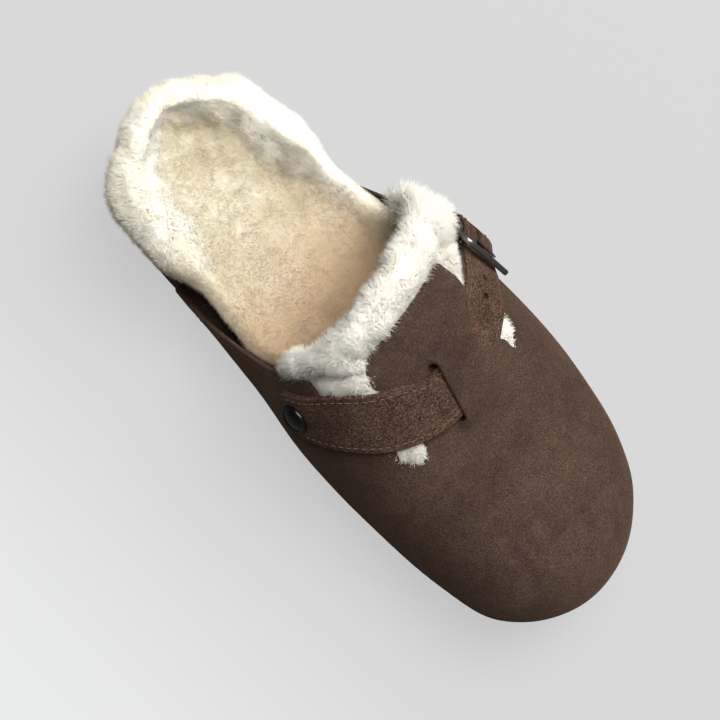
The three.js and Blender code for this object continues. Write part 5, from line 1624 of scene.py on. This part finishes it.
@dataclass
class BedFleece:
    """The shearling over the footbed, which swells over the heel cup into a tall plush ring."""

    sole: SoleStack
    pile: float = 8
    rear_y: float = -69
    overhang: float = 7
    swell_rim: float = 3.5
    seated: float = -5.1
    between: int = 5
    locks: Locks = Locks(21, 105000, 4.0, 0.11, 0.7, 0.45, 0.36, 0.3, 1.0)

    def open_heel(self, y: Array) -> Array:
        """1 behind the upper's rear edges and 0 inside the upper."""
        return 1 - smooth(self.rear_y - 11, self.rear_y + 13, y)

    def outer_roll(self, x: Array, y: Array) -> Array:
        """1 along the outer side, between the heel's rim and the front of the opening."""
        return smooth(-6, -26, x) * smooth(-92, -66, y) * smooth(-8, -34, y)

    def rows(self) -> Array:
        """The body's rings, from the middle of its upper side round to the middle of its under side."""
        base = 2 * self.sole.gap + self.sole.jute
        past = self.overhang - self.sole.inset - 4.2

        def low(share: float, extra: float = 0, heel: float = 0) -> Callable[[Array, Array], Array]:
            """Heights over the jute, with more at the open heel."""
            return lambda x, y: self.sole.bed(share, base + extra)(x, y) + heel * self.open_heel(y)

        def high(share: float, extra: float = 0, heel: float = 0) -> Callable[[Array, Array], Array]:
            """Heights of the pile, thinner to the toe."""
            return lambda x, y: low(share, extra + self.pile, heel)(x, y) - 2.5 * smooth(20, 90, y)

        def bank(share: float, extra: float, heel: float, roll: float) -> Callable[[Array, Array], Array]:
            """The pile's height with the roll that stands along the outer side as well."""
            return lambda x, y: high(share, extra, heel)(x, y) + roll * self.outer_roll(x, y)

        def rim(shut: float, loose: float, fill: float = 0) -> Callable[[Array, Array], Array]:
            """How far beyond the outline, inside the upper and behind it, and how much more beside the low collar."""
            def side(x: Array, y: Array) -> Array:
                """The extra beside the low collar, none on the ring that lies on the jute."""
                return (3.0 + 3.4 * smooth(-5, 15, x)) * smooth(-120, -102, y) * (shut != self.seated)

            return lambda x, y: ((shut + fill * smooth(-14, -32, y)) * (1 - self.open_heel(y))
                                 + (loose + side(x, y)) * self.open_heel(y))

        rings = [Ring(0, 0, high(0)), Ring(0.25, 0, high(0.25, 0, 1.2)), Ring(0.5, 0, bank(0.5, -0.5, 3.2, -0.5)),
                 Ring(0.72, 0, bank(0.72, -1, 5.8, 2)),
                 Ring(1, rim(-7.9, past - 8, 5), bank(1, -2.5, self.swell_rim, 7)),
                 Ring(1, rim(-4.9, past, 6.5), low(1, 2.5, 0.5)), Ring(1, rim(-4.4, past - 1, 5.5), low(1, 0, -6)),
                 Ring(1, rim(-4.6, 0.5, 2), low(1, 0, -5)), Ring(1, rim(-4.8, -1.9, 1), low(1, 0, -2.8)),
                 Ring(1, rim(self.seated, self.seated), low(1)), Ring(0.72, 0, low(0.72)), Ring(0.5, 0, low(0.5)),
                 Ring(0.25, 0, low(0.25)), Ring(0, 0, low(0))]
        wide = np.array([self.sole.ring(ring) for ring in rings])
        upper = wide[:8]
        u = np.linspace(0, 7, 7 * self.between + 1)
        i = np.minimum(u.astype(int), 6)
        s = (u - i)[:, None, None]
        p0, p1, p2, p3 = upper[np.maximum(i - 1, 0)], upper[i], upper[i + 1], upper[np.minimum(i + 2, 7)]
        v0, v1 = (p2 - p0) / 2, (p3 - p1) / 2
        soft = (2 * p1 - 2 * p2 + v0 + v1) * s ** 3 + (3 * p2 - 3 * p1 - 2 * v0 - v1) * s ** 2 + v0 * s + p1
        return np.concatenate([soft, wide[8:]])

    def build(self) -> list[bpy.types.Object]:
        """The body with its wool."""
        piece = lofted("bed_fleece", self.rows(), 0.05)
        lump, tuft = Drift(31, 17, 8, 30), Drift(32, 6, 3, 30)

        def rise(p: Array, way: Array) -> Array:
            """Locks bunched together, most of all round the heel's rim."""
            rim = self.open_heel(p[:, 1]) * smooth(38, 47, p[:, 2]) + 0.35
            return (0.38 * lump(p) + 0.2 * tuft(p)) * rim * smooth(-0.3, 0.3, way[:, 2]) * smooth(60, 10, p[:, 1])

        swell(piece, rise)

        def want(p: Array, way: Array) -> tuple[Array, Array, Array]:
            """Long brushed wool on the rim, short and flat in the bed, none beneath or inside the toe."""
            heel = self.open_heel(p[:, 1])
            rim = heel * smooth(40, 48, p[:, 2] + 3 * np.maximum(0, -way[:, 2] + 0.5))
            shown = (smooth(45, 20, p[:, 1]) * smooth(-0.75, -0.3, way[:, 2])
                     * (1 - (1 - heel) * smooth(0.15, -0.2, way[:, 2])))
            middle_y = np.clip(p[:, 1], -85, 40)
            outward = unit(np.stack([p[:, 0], p[:, 1] - middle_y, np.zeros(len(p))], 1))
            lay = outward * (0.35 + 0.3 * rim)[:, None] + np.array([0, -0.12, 0.15])
            return shown * (0.75 + 0.7 * rim), 0.38 + 0.75 * rim, lay

        self.locks.grow(piece, want)
        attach(BED_WOOL.on(piece), "clog")
        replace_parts(piece, "footbed_shearling")
        return [piece]


@dataclass
class UpperFleece:
    """The shearling inside the upper, and the roll of it that stands behind the tab."""

    last: Last
    upper: Upper
    gap: float = 0.3
    pile: float = 6.5
    foot_up: float = 17
    rear: float = -20
    cuff_rear: float = -20
    tab_back: Rows = ((46.5, -9), (38, -4), (30, 1), (24, 3), (19, 0.4), (0, -1.4), (-18, -5), (-25.5, -6.5),
                      (-36, -9.5), (-46.5, -12))
    cuff_middle: Rows = ((-36, -9), (-25.7, -6.6), (-18, -4.8), (0, -1.2), (19, 0.9), (24, 3.4), (30, 1.4),
                         (38, -4.4))
    cuff_back: Rows = ((52, -17.5), (46, -15), (40, -12.5), (28, -10.5), (12, -10.5), (0, -12.5), (-16, -16.5),
                       (-28, -19.5), (-42, -23), (-54, -27), (-64, -32))
    notches: tuple[Rows, ...] = (
        ((45.5, -6), (44.5, 4), (39.5, 19), (34.5, 32), (33, 39), (28.5, 43.5), (24, 40), (23.5, 31), (24.5, 20),
         (25.5, 12), (24, 5.5), (25, 3), (32, -1)),
        ((-25, -4), (-23.4, 6), (-19.5, 13), (-14.5, 21), (-13.5, 27.5), (-17, 30), (-22, 30.5), (-24, 35),
         (-27.5, 38), (-31, 35), (-33, 28), (-37.5, 15), (-43.5, -1), (-45.5, -9)))
    lining_locks: Locks = Locks(41, 20000, 3.6, 0.14, 0.7, 0.7, 0.5, 0.6, 0.9)
    cuff_locks: Locks = Locks(51, 36000, 4.4, 0.13, 0.65, 0.8, 0.5, 0.7, 0.95)

    def notch_room(self, flat: Array) -> Array:
        """How far a pattern point is inside the open part of a notch, past the strap's edge."""
        room = np.zeros(len(flat))
        for notch in self.notches:
            outline = closed(bend([*notch, notch[0]], 90), 0.5)
            deep = np.where(inside(flat, outline), nearest(flat, outline)[0], 0)
            room = np.maximum(room, deep)
        off = nearest(flat, self.upper.strap.samples)[0] - self.upper.strap.width / 2 + 0.3
        return np.minimum(room, np.maximum(off, 0))

    def make_lining(self) -> bpy.types.Object:
        """The lining, its pile towards the foot."""
        outer, inner = (self.upper.collar_line(side, self.rear) + [0, 0.8] for side in (Side.OUTER, Side.INNER))
        outline = np.concatenate([self.upper.round_foot(-self.foot_up, self.rear), outer, np.array(self.tab_back)[::-1],
                                  inner[::-1]])
        soft = Drift(43, 14, 6, 24)

        def under(flat: Array) -> Array:
            """The pile's face, lumpy."""
            return -self.gap - self.pile + 0.45 * soft(flat)

        def over(flat: Array) -> Array:
            """The pile's back, which puffs up into the two notches."""
            return -self.gap + 2.1 * smooth(0, 4, self.notch_room(flat))

        low, high = np.array([-48.0, -12]), np.array([48.0, 46])
        grid = np.stack(np.meshgrid(*(np.arange(a, b, 1.2) for a, b in zip(low, high))), -1).reshape(-1, 2)
        grid = grid[self.notch_room(grid) > 0.6]
        holes = self.last.place(grid, over(grid))
        piece = panel("lining_fleece", self.last, outline, under, over, (), 2.3, 2.0, 1.6)

        def want(p: Array, way: Array) -> tuple[Array, Array, Array]:
            """Short wool on the faces near the opening."""
            facing = -(way[:, 0] * np.sign(p[:, 0]) * 0.8 + way[:, 2] * 0.6)
            foot = smooth(40, 20, p[:, 1]) * smooth(0.0, 0.4, facing)
            gap = nearest(p, holes)[0]
            puff = smooth(2.2, 0.8, gap) * smooth(0.1, 0.4, way[:, 2])
            lay = np.tile(np.array([0, -0.5, 0.15]), (len(p), 1)) * (1 - puff)[:, None]
            return foot + puff * 4 + 1e-6, 0.9 + 0.1 * puff, lay

        self.lining_locks.grow(piece, want)
        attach(LINING_WOOL.on(piece), "clog")
        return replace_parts(piece, "upper_lining")

    def cuff_outline(self) -> Array:
        """The roll's pattern."""
        sides = {}
        for side in Side:
            stations = (self.cuff_rear, -16, -12) if side is Side.OUTER else (-15, -13, -11)
            used = [self.last.foot(side, -float(through(self.upper.collar, y)), [y])[0] for y in stations]
            used.append(np.array([side.value * 46.6, -8.6 if side is Side.INNER else -11.4]))
            sides[side] = np.array(used) - [0, 1.4]
        return np.concatenate([sides[Side.OUTER], bend(self.cuff_middle, 60), sides[Side.INNER][::-1],
                               bend(self.cuff_back, 120)])

    def make_cuff(self) -> bpy.types.Object:
        """The roll of fleece round the opening's front."""
        outline = self.cuff_outline()
        fence = closed(outline, 0.6)
        soft = Drift(53, 16, 7, 24)

        def bulge(flat: Array) -> Array:
            """0 on the roll's edge and 1 along its middle."""
            d = np.clip(nearest(flat, fence)[0] / 6.2, 0, 1)
            return np.sqrt(1 - (1 - d) ** 2)

        def ends(flat: Array) -> Array:
            """1 behind the tab and 0 at the roll's two ends."""
            return smooth(-30, -15, flat[:, 1])

        def over(flat: Array) -> Array:
            """The roll's upper side."""
            return -1.2 + (3.4 + 0.5 * soft(flat)) * bulge(flat) * (0.35 + 0.65 * ends(flat))

        def under(flat: Array) -> Array:
            """The roll's under side."""
            return -3.4 - 3.4 * bulge(flat) * (0.3 + 0.7 * ends(flat))

        piece = panel("cuff_fleece", self.last, outline, under, over, (), 1.8, 1.6, 1.3)

        def want(p: Array, way: Array) -> tuple[Array, Array, Array]:
            """Brushed wool all round, spilling back over the roll."""
            end = smooth(-26, -38, p[:, 0])[:, None]
            lay = np.array([0.0, -0.35, 0.1]) * (1 - end) + np.array([-0.7, 0.75, 0.25]) * end
            return 0.35 + smooth(-0.5, 0.3, way[:, 2]) + 0.8 * end[:, 0], 1 + 0.9 * end[:, 0], lay

        self.cuff_locks.grow(piece, want)
        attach(CUFF_WOOL.on(piece), "clog")
        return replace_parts(piece, "collar_cuff")

    def build(self) -> list[bpy.types.Object]:
        """Both pieces."""
        return [self.make_lining(), self.make_cuff()]


# ---------------------------------------------------------------- the studio
@dataclass
class Studio:
    """A plain pale floor, soft lights and the camera."""

    tilt: float = 15
    target: tuple[float, float, float] = (6.8, 1.1, 25.6)
    distance: float = 735
    lens: float = 95
    key_at: tuple[float, float, float] = (-0.9, 0.1, 1.5)
    key_size: float = 1.0
    key_watts: float = 24
    top_at: tuple[float, float, float] = (-0.3, -0.2, 1.9)
    top_size: float = 1.4
    top_watts: float = 60
    fill: float = 0.25
    floor_tone: tuple[float, float, float, float] = (0.07, 0.07, 0.07, 1)
    floor_seen: tuple[float, float, float, float] = (0.535, 0.535, 0.535, 1)
    floor_paler: tuple[float, float, float, float] = (0.69, 0.703, 0.698, 1)
    floor_unseen: tuple[float, float, float, float] = (0.03, 0.03, 0.03, 1)

    def make_camera(self) -> None:
        """The camera, looking down and from the inner side, turned so that the toe points to the lower right."""
        c, s = math.cos(math.radians(self.tilt)), math.sin(math.radians(self.tilt))
        e1, e2, towards = Vector((0, 1, 0)), Vector((-c, 0, s)), Vector((s, 0, c))
        right, up = 0.712 * e1 + 0.702 * e2, -0.702 * e1 + 0.712 * e2
        turn = Matrix((right.normalized(), up.normalized(), towards)).transposed().to_4x4()
        camera = bpy.data.cameras.new("camera")
        camera.lens, camera.sensor_width = self.lens, 36
        camera.clip_start, camera.clip_end = 0.05, 20
        seen = bpy.data.objects.new("camera", camera)
        seen.matrix_world = Matrix.Translation((Vector(self.target) + towards * self.distance) * MM) @ turn
        bpy.context.scene.collection.objects.link(seen)
        bpy.context.scene.camera = seen

    def light(self, name: str, at: Sequence[float], aim: Sequence[float], size: float, watts: float,
              colour: Sequence[float] = (1, 1, 1)) -> None:
        """A soft square light at a place in metres, aimed at another."""
        lamp = bpy.data.lights.new(name, "AREA")
        lamp.size, lamp.energy, lamp.color = size, watts, colour
        holder = bpy.data.objects.new(name, lamp)
        holder.matrix_world = (Matrix.Translation(at)
                               @ (Vector(at) - Vector(aim)).to_track_quat("Z", "Y").to_matrix().to_4x4())
        bpy.context.scene.collection.objects.link(holder)

    def build(self) -> None:
        """Makes the floor, the lights and the camera."""
        bpy.ops.object.select_all(action="DESELECT")
        bpy.ops.mesh.primitive_grid_add(x_subdivisions=8, y_subdivisions=8, size=6, location=(0, 0, 0))
        floor = bpy.context.active_object
        floor.name = "floor"
        material = bpy.data.materials.new("pale_floor")
        material.use_nodes = True
        b = Bench(material.node_tree)
        where = b.node("ShaderNodeTexCoord").outputs["Object"]
        part = b.node("ShaderNodeSeparateXYZ", {0: where}).outputs
        paler = b.ramp(part[0], 0.05, 0.22)
        shader = material.node_tree.nodes["Principled BSDF"]
        shader.inputs["Roughness"].default_value = 0.9
        shader.inputs["Specular IOR Level"].default_value = 0.1
        shader.inputs["Emission Strength"].default_value = 1.0
        shader.inputs["Base Color"].default_value = self.floor_tone
        shown = b.mix(paler, self.floor_seen, self.floor_paler)
        seen = b.node("ShaderNodeLightPath").outputs["Is Camera Ray"]
        b.tree.links.new(b.mix(seen, self.floor_unseen, shown), shader.inputs["Emission Color"])
        floor.data.materials.append(material)
        world = bpy.data.worlds.new("studio")
        world.use_nodes = True
        world.node_tree.nodes["Background"].inputs[0].default_value = (1, 1, 1, 1)
        world.node_tree.nodes["Background"].inputs[1].default_value = self.fill
        bpy.context.scene.world = world
        bpy.context.scene.view_settings.view_transform = "Standard"
        self.light("key", self.key_at, (0, 0, 0), self.key_size, self.key_watts)
        self.light("top", self.top_at, (0, 0, 0), self.top_size, self.top_watts)
        self.make_camera()


def main() -> None:
    """Builds the clog from the sole up, and then the studio."""
    logging.basicConfig(level=logging.INFO, format="%(message)s")
    last = Last()
    line = StrapLine(last)
    sole = SoleStack(last.outline)
    upper = Upper(last, line)
    parts = [sole, upper, Strap(last, line), Stud(line), Buckle(last, line), BedFleece(sole), UpperFleece(last, upper)]
    for part in parts:
        for piece in part.build():
            LOG.info("%-28s %7d faces", piece.name, len(piece.data.polygons))
    Studio().build()


if __name__ == "__main__":
    main()
